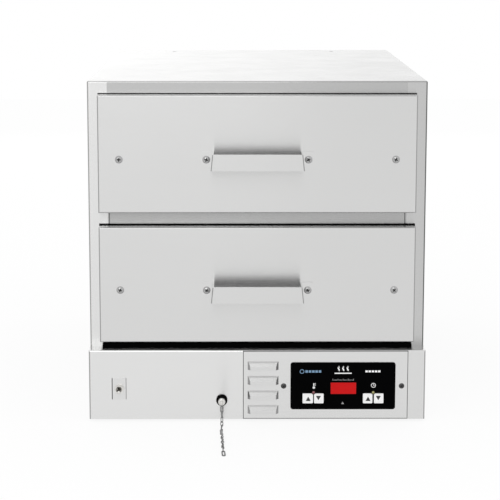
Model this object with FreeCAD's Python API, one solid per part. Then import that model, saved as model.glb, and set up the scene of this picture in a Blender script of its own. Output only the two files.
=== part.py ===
import FreeCAD, Part
import math
import os

os.makedirs("parts", exist_ok=True)

# Two-drawer countertop warming drawer, in millimetres.
# It is laid out with X to the right of the middle, Y to the back from the case's front face
# and Z up from the bottom edge of the base. settle() then puts the finished pieces on the
# part's own frame: +Z up, the front towards -Y, the origin under the middle at the feet.

# Case and base, all folded sheet
case_width = 508.0
case_height = 403.8
base_height = 107.0
base_forward = 31.5
skin = 1.2
fold = 2.4
wall = 29.4
return_depth = 12.0
fascia_return = 13.5
tray_flange = 18.0
seat = 0.3

# Front frame and drawers
opening_height = 156.6
drawer_pitch = 198.2
sill_height = 19.7
side_overlap = 13.0
end_overlap = 10.0
front_thick = 18.5
front_gap = 1.5
front_round = 2.0
plug_depth = 18.0
plug_margin = 4.0
plug_corner = 4.0
plug_dish = 3.0
gasket_width = 11.0
gasket_inset = 3.0
mid_rail_return = 30.0
sill_seal_half = 234.0
sill_seal_depth = 17.7
sill_seal_height = 7.0
drawer_travel = 460.0

# Handles and the screws on the drawer fronts
screw_drop = 7.5
screw_outer_x = 206.0
screw_handle_x = 76.0
handle_reach = 39.0
handle_height = 24.0
handle_half_top = 66.5
handle_half_bottom = 69.0
handle_sheet = 2.0
handle_lip = 5.0
handle_foot_end = 84.0
handle_foot_sheet = 1.5
screw_head_radius = 5.8
screw_head_height = 2.8
head_sides = 12

# Roller slides
channel_rise = 6.0
channel_height = 24.0
channel_width = 14.0
channel_sheet = 2.0
channel_front = 20.5
channel_back_room = 16.6
roller_front_y = 38.0
roller_front_radius = 12.0
roller_front_lift = 0.5
roller_back_inset = 14.0
roller_back_gap = 0.3
roller_width = 9.0
roller_side_gap = 1.5
roller_sides = 16
stop_height = 4.0
stop_gap = 0.3
roller_bore = 2.58
pin_radius = 2.5
pin_head_radius = 4.0
pin_head_thick = 0.9
pin_sides = 12
flange_lift = 0.3
web_gap = 1.0
web_sheet = 2.0
web_front = 18.0
web_past_pan = 16.0
web_window_margin = 34.0
notch_margin = 2.0

# Pan: the 1/1 food pan, 530 by 325 and 100 deep
pan_length = 530.0
pan_width = 325.0
pan_depth = 100.0
pan_sheet = 0.9
pan_rim = 11.0
pan_taper = 7.0
pan_corner = 38.0
pan_floor_lift = 14.0
pan_front = 30.0
pan_room_behind = 60.6
pan_corner_steps = 4
deck_hole_gap = 1.5

# Water tank, its drain and the heaters
tank_half = 140.0
tank_front = 130.0
tank_length = 210.0
tank_floor = 24.0
tank_flange = 10.0
tank_corner = 24.0
tank_corner_steps = 3
drain_x = -53.4
drain_inner = 6.0
drain_outer = 7.2
drain_hole_gap = 0.4
drain_nut_across = 12.0
drain_nut_thick = 5.0
stopper_flange_radius = 8.5
stopper_flange = 4.0
stopper_length = 15.0
stopper_taper = 0.6
cap_radius = 5.5
cap_length = 9.0
eyelet_radius = 3.4
eyelet_wire = 0.9
bung_sides = 20
heater_tube = 4.0
heater_sides = 8
heater_bend_steps = 3
water_heater_bend = 30.0
water_heater_length = 150.0
water_heater_lift = 12.0
air_heater_half = 150.0
air_heater_bend = 26.0
air_heater_rows = 4
air_heater_low = 60.0
air_heater_off = 16.0
clip_width = 14.0
clip_thick = 2.0
probe_radius = 3.0
probe_sides = 10
probe_length = 70.0
probe_x = 190.0

# Control plate and what it carries
plate_left = -20.4
plate_width = 247.2
plate_low = 1.8
plate_height = 103.7
plate_sheet = 1.2
plate_seat = 5.0
louver_left = -14.3
louver_width = 46.5
louver_height = 13.0
louver_low = 10.7
louver_pitch = 22.7
louver_count = 4
louver_reach = 4.0
louver_sheet = 0.9
overlay_left = 50.3
overlay_width = 158.5
overlay_low = 15.8
overlay_height = 73.0
overlay_thick = 1.0
overlay_corner = 4.0
key_low = 25.5
key_height = 15.1
key_left_edges = (68.7, 86.0, 159.9, 176.6)
key_widths = (15.7, 14.4, 14.3, 14.3)
key_thick = 4.4
key_proud = 1.0
key_chamfer = 0.9
key_gap = 0.3
key_lug = 1.2
key_lug_width = 8.0
key_travel = 0.5
led_places = (85.2, 175.4)
led_height = 42.2
led_radius = 2.0
led_proud = 0.4
led_notch = 3.4
lamp_sides = 12
window_left = 111.1
window_width = 38.3
window_low = 39.9
window_height = 17.5
window_proud = 0.2
window_gap = 0.15
board_stand = 14.0
board_sheet = 1.6
board_left = 40.0
board_width = 176.0
board_low = 14.0
board_height = 80.0
stand_width = 6.0
stand_inset = 12.0
switch_body = 6.0
relay_width = 28.0
relay_depth = 16.0
relay_height = 22.0
plate_screw_places = (40.0, 218.2)
plate_screw_height = 52.0
plate_screw_radius = 4.2
plate_screw_head = 2.0

# Power toggle switch
switch_x = -208.5
switch_z = 47.7
legend_width = 22.3
legend_height = 34.5
legend_sheet = 0.8
bush_radius = 6.0
bush_reach = 5.0
bush_bore = 4.8
nut_radius = 8.0
nut_thick = 2.2
switch_width = 13.0
switch_height = 28.0
switch_depth = 22.0
lever_ball = 3.0
lever_root = 1.7
lever_tip = 2.5
lever_reach = 7.0
lever_rest = 13.0
lever_pivot = 3.0
lever_pin = 1.1
lever_sides = 12
bush_sides = 20

# Electrical pieces in the base and the inlet in the back
transformer_x = 165.0
transformer_y = 60.0
core_width = 54.0
core_depth = 22.0
core_height = 46.0
core_limb = 9.0
coil_depth = 40.0
terminal_x = 50.0
terminal_y = 60.0
terminal_pitch = 14.0
terminal_count = 5
terminal_depth = 22.0
terminal_height = 18.0
terminal_well = 4.0
inlet_x = -190.0
inlet_z = 54.0
inlet_flange_width = 50.0
inlet_flange_height = 34.0
inlet_flange = 2.0
inlet_body_width = 34.0
inlet_body_height = 24.0
inlet_body_depth = 30.0
inlet_wall = 3.0
inlet_socket_depth = 19.0
inlet_pin_width = 2.0
inlet_pin_height = 5.0
inlet_pin_spread = 7.0
vent_count = 9
vent_pitch = 20.0
vent_width = 5.0
vent_height = 50.0
vent_low = 30.0
vent_middle = 60.0

# Feet and the casing's screws
foot_drop = 4.0
foot_radius = 15.0
foot_inset = 45.0
foot_chamfer = 1.0
foot_sides = 20
top_screw_x = 146.0
top_screw_back = 37.0
top_screw_radius = 3.6
back_screw_radius = 4.2
back_screw_head = 2.0
back_screw_inset = 9.0

# Drain chain: its points, from the eyelet down to the surface and forward over it
chain_diameter = 5.0
chain_sides = 8
chain_arc_share = 0.45
end_ring_width = 7.4
end_ring_length = 21.0
end_ring_wire = 1.1
end_ring_steps = 6

V = FreeCAD.Vector
ACROSS, DEEP, UP = V(1, 0, 0), V(0, 1, 0), V(0, 0, 1)
MITRED = 1

half = case_width / 2
case_top = base_height + case_height
opening_half = half - wall
sill_top = base_height + sill_height
opening_lows = [sill_top, sill_top + drawer_pitch]
cavity_top = opening_lows[1] + opening_height
front_half = opening_half + side_overlap
front_back = -front_gap
front_face = front_back - front_thick
fascia_face = -base_forward
plate_face = fascia_face - plate_sheet
overlay_face = plate_face - overlay_thick
plate_back = fascia_face
liner_front = return_depth + seat
liner_back = pan_front + pan_length + pan_room_behind
case_depth = liner_back + wall
web_back = pan_front + pan_length + web_past_pan
roller_back_y = web_back - roller_back_inset
channel_back = liner_back - channel_back_room
drain_z = tank_floor + drain_inner
key_centres = [left + width / 2 for left, width in zip(key_left_edges, key_widths)]
board_front = plate_back + board_stand
bush_front = fascia_face - legend_sheet - bush_reach
pivot_y = fascia_face + lever_pivot
stopper_front = fascia_face - seat - stopper_flange
cap_front = stopper_front - cap_length
eyelet_y = cap_front - eyelet_radius + eyelet_wire

middle_y = (front_face - handle_reach + case_depth + back_screw_head) / 2
SHIFT = V(0, -middle_y, foot_drop)


def block(xs, ys, zs):
    low = V(min(xs), min(ys), min(zs))
    return Part.makeBox(max(xs) - low.x, max(ys) - low.y, max(zs) - low.z, low)


def rod(start, along, radius, length):
    return Part.makeCylinder(radius, length, start, along)


def fused(shapes):
    shapes = list(shapes)
    return shapes[0].fuse(shapes[1:]) if len(shapes) > 1 else shapes[0]


def edges_along(shape, axis, keep):
    """The straight edges of a shape that run along axis and whose middles keep() accepts."""
    found = []
    for edge in shape.Edges:
        ends = edge.Vertexes
        if len(ends) == 2:
            run = ends[1].Point - ends[0].Point
            if run.Length > 1e-6 and run.cross(axis).Length < 1e-6 * run.Length:
                if keep((ends[0].Point + ends[1].Point) * 0.5):
                    found.append(edge)
    return found


def rounded(shape, radius, axis, keep=lambda p: True):
    return shape.makeFillet(radius, edges_along(shape, axis, keep))


def bevelled(shape, size, axis):
    return shape.makeChamfer(size, edges_along(shape, axis, lambda p: True))


def corner_ring(width, length, radius, steps, middle, z):
    """The points of a rectangle whose corners are arcs of a few straight steps."""
    points = []
    for i, (sx, sy) in enumerate(((1, 1), (-1, 1), (-1, -1), (1, -1))):
        cx, cy = middle.x + sx * (width / 2 - radius), middle.y + sy * (length / 2 - radius)
        for k in range(steps + 1):
            turn = math.pi / 2 * (i + k / steps)
            points.append(V(cx + radius * math.cos(turn), cy + radius * math.sin(turn), z))
    return points


def corner_slab(width, length, radius, steps, middle, z, thick):
    return skinned([corner_ring(width, length, radius, steps, middle, height)
                    for height in (z, z + thick)])


def flat_ring(radius, flats, height):
    """A closed wire: a regular polygon whose corners lie at a radius, level at a height."""
    turns = [2 * math.pi * (i + 0.5) / flats for i in range(flats + 1)]
    return Part.makePolygon([V(radius * math.cos(t), radius * math.sin(t), height) for t in turns])


def prism(start, along, radius, length, flats):
    """A rod with flats in place of a round side."""
    bar = Part.Face(flat_ring(radius, flats, 0)).extrude(UP * length)
    bar.Placement = FreeCAD.Placement(start, FreeCAD.Rotation(UP, along))
    return bar


def skinned(rings):
    """A solid whose flat faces join closed rings of as many points each."""
    faces = [Part.Face(Part.makePolygon(ring + ring[:1])) for ring in (rings[0], rings[-1])]
    for low, high in zip(rings, rings[1:]):
        for i in range(len(low)):
            j = (i + 1) % len(low)
            faces.append(Part.Face(Part.makePolygon([low[i], low[j], high[j], high[i], low[i]])))
    return Part.Solid(Part.Shell(faces))


def stacked(centre, along, outline, flats):
    """A solid with flats whose rings follow an outline of (radius, height) points."""
    solid = skinned([[v.Point for v in flat_ring(radius, flats, height).Vertexes]
                     for radius, height in outline])
    solid.Placement = FreeCAD.Placement(centre, FreeCAD.Rotation(UP, along))
    return solid


def dome(centre, along, radius, height):
    """A low domed head on a flat seat, standing out along a direction."""
    return stacked(centre, along, [(radius, 0), (radius, height * 0.3), (radius * 0.75, height * 0.8),
                                   (radius * 0.4, height)], head_sides)


def largest_bends(points):
    """For each corner of a route, the radius of an arc as large as its two runs allow."""
    bends = []
    for before, here, after in zip(points, points[1:], points[2:]):
        into, out = here - before, after - here
        cut = chain_arc_share * min(into.Length, out.Length)
        bends.append(cut / math.tan(into.getAngle(out) / 2))
    return bends


def stepped(arc, start, steps):
    """An arc's chords, in order from the end where it starts."""
    stops = arc.discretize(steps + 1)
    if (stops[0] - start).Length > 1e-6:
        stops.reverse()
    return [Part.makeLine(a, b) for a, b in zip(stops, stops[1:])]


def tube_section(start, along, radius, sides):
    """A closed wire across a route's start: a circle, or flats of about the same area."""
    if sides is None:
        return Part.Wire(Part.makeCircle(radius, start, along))
    turn = FreeCAD.Rotation(UP, along)
    reach = radius / math.sqrt(sides / (2 * math.pi) * math.sin(2 * math.pi / sides))
    corners = []
    for i in range(sides + 1):
        angle = 2 * math.pi * (i + 0.5) / sides
        corners.append(start + turn.multVec(V(reach * math.cos(angle), reach * math.sin(angle), 0)))
    return Part.makePolygon(corners)


def tube_through(points, bends, radius, sides=None, steps=None):
    """A tube along straight runs joined by arcs that touch them, and its length.

    With steps, each arc is that many short straight pieces, mitred where they meet.
    """
    edges, at = [], points[0]
    for before, here, after, bend in zip(points, points[1:], points[2:], bends):
        into, out = (here - before).normalize(), (after - here).normalize()
        turn = into.getAngle(out)
        start = here - into * (bend * math.tan(turn / 2))
        end = here + out * (bend * math.tan(turn / 2))
        middle = here + (out - into).normalize() * (bend / math.cos(turn / 2) - bend)
        if (start - at).Length > 1e-6:
            edges.append(Part.makeLine(at, start))
        arc = Part.Arc(start, middle, end).toShape()
        edges += stepped(arc, start, steps) if steps else [arc]
        at = end
    edges.append(Part.makeLine(at, points[-1]))
    path = Part.Wire(edges)
    section = tube_section(points[0], points[1] - points[0], radius, sides)
    return path.makePipeShell([section], True, False, MITRED if steps else 0), path.Length


# ---------------------------------------------------------------- case


def outer_wrap():
    body = block((-half, half), (0, case_depth), (base_height, case_top))
    body = body.makeFillet(
        fold,
        edges_along(body, UP, lambda p: p.y < 1)
        + edges_along(body, DEEP, lambda p: p.z > case_top - 1)
        + edges_along(body, ACROSS, lambda p: p.z > case_top - 1 and p.y < 1),
    )
    room = block((-half + skin, half - skin), (skin, case_depth + 1),
                 (base_height - 1, case_top - skin))
    window = ((-opening_half, opening_half), (-1, return_depth + 1), (sill_top, cavity_top))
    collar = block((-opening_half - skin, opening_half + skin), (skin / 2, return_depth),
                   (sill_top - skin, cavity_top + skin))
    shell = body.cut(room).fuse(collar).cut(block(*window))
    for x in (-top_screw_x, top_screw_x):
        hole_at = V(x, case_depth - top_screw_back, case_top - 2 * skin)
        shell = shell.cut(rod(hole_at, UP, top_screw_radius, 3 * skin))
    return shell


def mid_rail():
    low, high = opening_lows[0] + opening_height, opening_lows[1]
    xs = (-opening_half + seat, opening_half - seat)
    bar = block(xs, (0, mid_rail_return), (low, high))
    return bar.cut(block(xs, (skin, mid_rail_return + 1), (low + skin, high - skin)))


def sill_seal():
    seal = block((-sill_seal_half, sill_seal_half), (-sill_seal_depth, -seat),
                 (base_height, base_height + sill_seal_height))
    return rounded(seal, sill_seal_height / 3, ACROSS, lambda p: p.z > base_height + 1)


def cavity_liner():
    inside = (-opening_half, opening_half)
    outside = (-opening_half - skin, opening_half + skin)
    liner = block(outside, (liner_front, liner_back + skin), (sill_top - skin, cavity_top + skin))
    liner = liner.cut(block(inside, (0, liner_back), (sill_top, cavity_top)))
    return liner.cut(tank_block(0, sill_top - 2 * skin, sill_top + skin))


def insulation_jacket():
    inset = skin + seat
    jacket = block((-half + inset, half - inset), (inset, case_depth - inset),
                   (base_height + seat, case_top - inset))
    cavity = block((-opening_half - inset, opening_half + inset), (0, liner_back + inset),
                   (sill_top - inset, cavity_top + inset))
    clear = tank_flange + skin + seat
    well = block((-tank_half - clear, tank_half + clear),
                 (tank_front - clear, tank_front + tank_length + clear),
                 (base_height, sill_top))
    return jacket.cut(cavity).cut(well)


def rear_panel():
    xs = (-half + skin, half - skin)
    panel = block(xs, (case_depth - skin, case_depth), (skin, case_top - skin))
    through = (case_depth - 2 * skin, case_depth + skin)
    for i in range(vent_count):
        x = vent_middle + (i - (vent_count - 1) / 2) * vent_pitch
        slot = block((x - vent_width / 2, x + vent_width / 2), through,
                     (vent_low, vent_low + vent_height))
        panel = panel.cut(slot)
    return panel.cut(inlet_block(through, seat))


# ---------------------------------------------------------------- base


def base_tray():
    xs = (-half, half)
    tray = block(xs, (seat, case_depth), (0, base_height))
    tray = tray.cut(block((-half + skin, half - skin), (-1, case_depth + 1),
                          (skin, base_height - skin)))
    inner = half - skin - tray_flange
    tray = tray.cut(block((-inner, inner), (-1, case_depth + 1),
                          (base_height - 2 * skin, base_height + 1)))
    tray = tray.cut(block((-half + skin, half - skin), (case_depth - skin, case_depth + 1),
                          (skin, base_height + 1)))
    tongue = block((-half + skin, half - skin), (fascia_face + fascia_return + seat, 2 * seat),
                   (0, skin))
    return tray.fuse(tongue)


def base_fascia():
    body = block((-half, half), (fascia_face, 0), (0, base_height))
    body = body.makeFillet(
        fold,
        edges_along(body, UP, lambda p: p.y < fascia_face + 1)
        + edges_along(body, ACROSS, lambda p: p.y < fascia_face + 1 and p.z > 1),
    )
    inside = (-half + skin, half - skin)
    body = body.cut(block(inside, (fascia_face + skin, 1), (skin, base_height - skin)))
    body = body.cut(block(inside, (fascia_face + fascia_return, 1), (-1, 2 * skin)))
    through = (fascia_face - 1, fascia_face + 2 * skin)
    body = body.cut(block((plate_left + plate_seat, plate_left + plate_width - plate_seat), through,
                          (plate_low + plate_seat, plate_low + plate_height - plate_seat)))
    for x, z, radius in ((drain_x, drain_z, drain_outer + drain_hole_gap),
                         (switch_x, switch_z, bush_radius + seat)):
        body = body.cut(prism(V(x, fascia_face - 1, z), DEEP, radius, 3 * skin, bush_sides))
    return body


def tank_block(grow, low, high):
    """A block with the tank's plan and corners, larger by grow all round."""
    middle = V(0, tank_front + tank_length / 2, 0)
    return corner_slab(2 * (tank_half + grow), tank_length + 2 * grow, tank_corner + grow,
                       tank_corner_steps, middle, low, high - low)


def evaporator_tank():
    top = sill_top - skin
    tank = tank_block(skin, tank_floor - skin, top).fuse(tank_block(tank_flange + skin, top - skin, top))
    tank = tank.cut(tank_block(0, tank_floor, top + 1))
    hole = rod(V(drain_x, tank_front - 2 * skin, drain_z), DEEP, drain_inner, 3 * skin)
    return tank.cut(hole)


def hexagon(centre, radius, thick):
    corners = [centre + V(radius * math.cos(math.radians(60 * i)), 0,
                          radius * math.sin(math.radians(60 * i))) for i in range(7)]
    return Part.Face(Part.makePolygon(corners)).extrude(DEEP * thick)


def drain_pipe():
    start = V(drain_x, fascia_face, drain_z)
    length = tank_front - skin - fascia_face
    pipe = prism(start, DEEP, drain_outer, length, bush_sides)
    pipe = pipe.fuse(hexagon(start + DEEP * (skin + seat), drain_nut_across, drain_nut_thick))
    return pipe.cut(rod(start - DEEP, DEEP, drain_inner, length + 2))


def evaporator_heater():
    z = tank_floor + water_heater_lift
    back = tank_front + tank_length
    front = back - water_heater_length
    x = water_heater_bend
    route = [V(-x, back, z), V(-x, front, z), V(x, front, z), V(x, back, z)]
    tube, _ = tube_through(route, [x, x], heater_tube, heater_sides, heater_bend_steps)
    boss = heater_tube / 2
    return fused([tube] + [rod(V(side, back - boss, z), DEEP, 2 * heater_tube, boss)
                           for side in (-x, x)])


def air_heater():
    """A serpentine across the cavity's back wall, on two straps."""
    y = liner_back - air_heater_off
    low = sill_top + air_heater_low
    run, rise = air_heater_half + air_heater_bend, 2 * air_heater_bend
    entry = air_heater_off * 0.7
    side = -air_heater_half
    route, bends = [V(side, liner_back, low), V(side, y, low)], [entry]
    for row in range(air_heater_rows - 1):
        side = run if row % 2 == 0 else -run
        route += [V(side, y, low + rise * row), V(side, y, low + rise * (row + 1))]
        bends += [air_heater_bend, air_heater_bend]
    top = low + rise * (air_heater_rows - 1)
    end = math.copysign(air_heater_half, -side)
    route += [V(end, y, top), V(end, liner_back, top)]
    tube, _ = tube_through(route, bends + [entry], heater_tube, heater_sides, heater_bend_steps)
    foot_low, foot_high = low - 3 * heater_tube, top + 3 * heater_tube
    straps = []
    for x in (-air_heater_half / 2, air_heater_half / 2):
        strap_y = y + heater_tube - clip_thick / 4
        straps.append(block((x, x + clip_width), (strap_y, strap_y + clip_thick), (foot_low, foot_high)))
        for z in (foot_low, foot_high - clip_thick):
            straps.append(block((x, x + clip_width), (strap_y, liner_back), (z, z + clip_thick)))
    return fused([tube] + straps)


def temperature_probe():
    z = cavity_top - air_heater_low / 2
    probe = prism(V(probe_x, liner_back - probe_length, z), DEEP, probe_radius, probe_length, probe_sides)
    collar = prism(V(probe_x, liner_back - 4, z), DEEP, 2.5 * probe_radius, 4, probe_sides)
    return probe.fuse(collar)


# ---------------------------------------------------------------- controls


def louver(left, right, low, high, reach, face):
    """The bulge of one stamped louver: flush at the top, open below, with sloped ends."""
    profile = [(0, 0), (1, 0), (0.92, 0.4), (0.55, 0.8), (0, 1)]
    points = [V(left, face - out * reach, low + up * (high - low)) for out, up in profile]
    bulge = Part.Face(Part.makePolygon(points + points[:1])).extrude(ACROSS * (right - left))
    corners = [V(left, face, low), V(right, face, low),
               V(right - reach, face - reach, low), V(left + reach, face - reach, low)]
    plan = Part.Face(Part.makePolygon(corners + corners[:1])).extrude(UP * (high - low))
    return bulge.common(plan)


def louver_lows():
    return [plate_low + louver_low + i * louver_pitch - louver_height / 4
            for i in range(louver_count)]


def key_shape(i, grow, ys):
    """The outline of one key, cut round the lamp beside it, over a stretch of depth."""
    left, width = key_left_edges[i], key_widths[i]
    cap = block((left - grow, left + width + grow), ys, (key_low - grow, key_low + key_height + grow))
    cap = cap.makeChamfer(key_chamfer, edges_along(cap, DEEP, lambda p: True))
    for x in led_places:
        if abs(x - key_centres[i]) < width:
            round_lamp = prism(V(x, min(ys) - 1, led_height), DEEP, led_notch - grow,
                               max(ys) - min(ys) + 2, lamp_sides)
            cap = cap.cut(round_lamp)
    return cap


def window_block(ys, grow):
    return block((window_left - grow, window_left + window_width + grow), ys,
                 (window_low - grow, window_low + window_height + grow))


def front_holes(ys):
    """What passes through both the overlay and the plate: the keys, the lamps and the window."""
    holes = [key_shape(i, key_gap, ys) for i in range(len(key_centres))]
    holes.append(window_block(ys, window_gap))
    depth = max(ys) - min(ys)
    holes += [prism(V(x, min(ys), led_height), DEEP, led_radius + window_gap, depth, lamp_sides)
              for x in led_places]
    return holes


def control_plate():
    plate = block((plate_left, plate_left + plate_width), (plate_face, plate_back),
                  (plate_low, plate_low + plate_height))
    left, right = louver_left, louver_left + louver_width
    hoods, rooms = [], []
    for low in louver_lows():
        high = low + louver_height
        hoods.append(louver(left, right, low, high, louver_reach, plate_face))
        rooms.append(louver(left + louver_sheet, right - louver_sheet, low - louver_sheet / 2,
                            high - 2 * louver_sheet, louver_reach - louver_sheet, plate_face))
        rooms.append(block((left + louver_reach, right - louver_reach),
                           (plate_face - louver_sheet / 2, plate_back + 1),
                           (low, high - 3 * louver_sheet)))
    plate = plate.fuse(hoods).cut(rooms)
    plate = plate.cut(front_holes((plate_face - 1, plate_back + 1)))
    for x in plate_screw_places:
        plate = plate.cut(prism(V(x, plate_face - 1, plate_screw_height), DEEP,
                                plate_screw_radius / 2, 3 * plate_sheet, lamp_sides))
    return plate


def control_overlay():
    overlay = block((overlay_left, overlay_left + overlay_width), (overlay_face, plate_face),
                    (overlay_low, overlay_low + overlay_height))
    overlay = rounded(overlay, overlay_corner, DEEP)
    return overlay.cut(front_holes((overlay_face - 1, plate_face + 1)))


def display_window():
    return window_block((overlay_face - window_proud, plate_back), 0)


def indicator_leds():
    start = overlay_face - led_proud
    return Part.makeCompound([
        rod(V(x, start, led_height), DEEP, led_radius, board_front - start) for x in led_places
    ])


def key_cap(i):
    front = overlay_face - key_proud
    cap = key_shape(i, 0, (front, front + key_thick))
    x, high = key_centres[i], key_low + key_height
    lug_ys = (plate_back + seat, front + key_thick)
    for zs in ((key_low - key_lug, key_low + key_lug), (high - key_lug, high + key_lug)):
        lug = block((x - key_lug_width / 2, x + key_lug_width / 2), lug_ys, zs)
        cap = cap.fuse(lug)
    return cap


def control_board():
    ys = (board_front, board_front + board_sheet)
    xs = (board_left, board_left + board_width)
    zs = (board_low, board_low + board_height)
    board = block(xs, ys, zs)
    reach = stand_width / 2
    stands = [block((x - reach, x + reach), (plate_back, board_front), (z - reach, z + reach))
              for x in (xs[0] + stand_inset, xs[1] - stand_inset)
              for z in (zs[0] + stand_inset / 2, zs[1] - stand_inset / 2)]
    display = window_block((plate_back + seat, board_front), -2 * window_gap)
    key_back = overlay_face - key_proud + key_thick + key_travel + seat
    z = key_low + key_height / 2
    switches = [block((x - switch_body / 2, x + switch_body / 2), (key_back, board_front),
                      (z - switch_body / 2, z + switch_body / 2)) for x in key_centres]
    relay_left = xs[0] + 2 * stand_inset
    relay_low = zs[1] - 2 * stand_inset - relay_height
    relay = block((relay_left, relay_left + relay_width), (ys[1], ys[1] + relay_depth),
                  (relay_low, relay_low + relay_height))
    return fused([board, display, relay] + stands + switches)


# ---------------------------------------------------------------- power switch


def switch_plate():
    plate = block((switch_x - legend_width / 2, switch_x + legend_width / 2),
                  (fascia_face - legend_sheet, fascia_face),
                  (switch_z - legend_height / 2, switch_z + legend_height / 2))
    plate = bevelled(plate, legend_sheet, DEEP)
    return plate.cut(prism(V(switch_x, fascia_face - 1, switch_z), DEEP, bush_radius + seat, 2,
                           bush_sides))


def toggle_switch():
    back = fascia_face + skin
    bush = prism(V(switch_x, bush_front, switch_z), DEEP, bush_radius, back - bush_front + seat,
                 bush_sides)
    nut_at = V(switch_x, fascia_face - legend_sheet - nut_thick, switch_z)
    nut = hexagon(nut_at, nut_radius, nut_thick)
    body = block((switch_x - switch_width / 2, switch_x + switch_width / 2),
                 (back, back + switch_depth),
                 (switch_z - switch_height / 2, switch_z + switch_height / 2))
    mouth = prism(V(switch_x, bush_front - 1, switch_z), DEEP, bush_bore,
                  pivot_y + lever_ball + 2 * seat - bush_front + 1, bush_sides)
    return fused([bush, nut, body]).cut(mouth)


def toggle_lever():
    """A bat lever on its ball and cross pin, tipped down at rest."""
    length = pivot_y - bush_front + lever_reach
    ball, tip = lever_ball, lever_tip
    outline = [(ball * 0.5, -ball * 0.87), (ball, 0), (ball * 0.6, ball * 0.8), (lever_root, ball),
               (tip, length - tip), (tip * 0.8, length - tip * 0.4), (tip * 0.35, length)]
    pivot = V(switch_x, pivot_y, switch_z)
    pin_half = bush_bore - seat
    pin = rod(pivot - ACROSS * pin_half, ACROSS, lever_pin, 2 * pin_half)
    lever = stacked(pivot, V(0, -1, 0), outline, lever_sides).fuse(pin)
    lever.rotate(pivot, ACROSS, lever_rest)
    return lever


# ---------------------------------------------------------------- electrical pieces


def transformer():
    xs = (transformer_x - core_width / 2, transformer_x + core_width / 2)
    core = block(xs, (transformer_y, transformer_y + core_depth), (skin, skin + core_height))
    middle = transformer_y + core_depth / 2
    coil = block((xs[0] + core_limb, xs[1] - core_limb),
                 (middle - coil_depth / 2, middle + coil_depth / 2),
                 (skin + core_limb, skin + core_height - core_limb))
    coil = rounded(coil, core_limb / 2, UP)
    foot = block((xs[0] - core_limb, xs[1] + core_limb),
                 (transformer_y + core_limb / 2, transformer_y + core_depth - core_limb / 2),
                 (skin, 2 * skin))
    return fused([core, coil, foot])


def terminal_block():
    length = terminal_count * terminal_pitch
    body = block((terminal_x, terminal_x + length), (terminal_y, terminal_y + terminal_depth),
                 (skin, skin + terminal_height))
    wells = []
    for i in range(terminal_count):
        x = terminal_x + (i + 0.5) * terminal_pitch
        for y in (terminal_y + terminal_depth / 4, terminal_y + terminal_depth * 3 / 4):
            wells.append(block((x - terminal_well, x + terminal_well), (y - terminal_well, y + terminal_well),
                               (skin + terminal_height / 2, 2 * terminal_height)))
    return body.cut(wells)


def inlet_block(ys, grow):
    return block((inlet_x - inlet_body_width / 2 - grow, inlet_x + inlet_body_width / 2 + grow), ys,
                 (inlet_z - inlet_body_height / 2 - grow, inlet_z + inlet_body_height / 2 + grow))


def power_inlet():
    back = case_depth + inlet_flange
    body = inlet_block((case_depth - inlet_body_depth, back), 0)
    flange = block((inlet_x - inlet_flange_width / 2, inlet_x + inlet_flange_width / 2),
                   (case_depth, back),
                   (inlet_z - inlet_flange_height / 2, inlet_z + inlet_flange_height / 2))
    flange = rounded(flange, inlet_wall, DEEP)
    socket = inlet_block((back - inlet_socket_depth, back + 1), -inlet_wall)
    pins = []
    for dx, dz in ((-inlet_pin_spread, -1), (0, 3), (inlet_pin_spread, -1)):
        x, z = inlet_x + dx, inlet_z + dz
        pins.append(block((x - inlet_pin_width / 2, x + inlet_pin_width / 2),
                          (back - inlet_socket_depth - 1, back - inlet_wall),
                          (z - inlet_pin_height / 2, z + inlet_pin_height / 2)))
    return body.fuse(flange).cut(socket).fuse(pins)


# ---------------------------------------------------------------- feet and screws


def foot_places():
    x = half - foot_inset
    return [V(sx, y, 0) for sx in (-x, x)
            for y in (fascia_face + foot_inset, case_depth - foot_inset)]


def feet():
    outline = [(foot_radius - foot_chamfer, -foot_drop), (foot_radius, foot_chamfer - foot_drop),
               (foot_radius, 0)]
    return Part.makeCompound([stacked(place, UP, outline, foot_sides) for place in foot_places()])


def casing_screws():
    heads = []
    for x in (-top_screw_x, top_screw_x):
        place = V(x, case_depth - top_screw_back, case_top - skin - seat)
        heads.append(prism(place, UP, top_screw_radius - seat, skin, head_sides))
    for x in plate_screw_places:
        at = V(x, plate_face, plate_screw_height)
        shank = prism(at, DEEP, plate_screw_radius / 2 - seat / 2, plate_sheet + 3, lamp_sides)
        heads.append(dome(at, V(0, -1, 0), plate_screw_radius, plate_screw_head).fuse(shank))
    across = half - skin - back_screw_inset
    low, high = skin + back_screw_inset, case_top - skin - back_screw_inset
    for x in (-across, across):
        for z in (low, base_height + back_screw_inset, (low + high) / 2, high):
            heads.append(hexagon(V(x, case_depth, z), back_screw_radius, back_screw_head))
    return Part.makeCompound(heads)


# ---------------------------------------------------------------- roller slides

channel_face = opening_half
channel_inner = channel_face - channel_sheet
channel_mouth = channel_face - channel_width
web_outer = channel_mouth - web_gap
web_inner = web_outer - web_sheet
front_roller_z = channel_sheet + roller_front_lift + roller_front_radius
flange_low = front_roller_z + roller_front_radius + flange_lift
roller_back_radius = (channel_height - 2 * channel_sheet) / 2 - roller_back_gap
back_roller_z = channel_height / 2
roller_outer = channel_inner - roller_side_gap
roller_inner = roller_outer - roller_width


def sided(shape, side):
    """Pieces are drawn on the right; the left ones are their mirror images."""
    return shape if side > 0 else shape.mirror(V(0, 0, 0), ACROSS)


def channel_low(level):
    return opening_lows[level] + channel_rise


def roller_pin(root, reach, tip_sign, y, z):
    """A pin from a wall at x = root to x = reach, with a head past the roller."""
    xs = sorted((root, reach))
    pin = prism(V(xs[0], y, z), ACROSS, pin_radius, xs[1] - xs[0], pin_sides)
    head_xs = (reach, reach + tip_sign * pin_head_thick)
    head = prism(V(min(head_xs), y, z), ACROSS, pin_head_radius, pin_head_thick, pin_sides)
    return pin.fuse(head)


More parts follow.
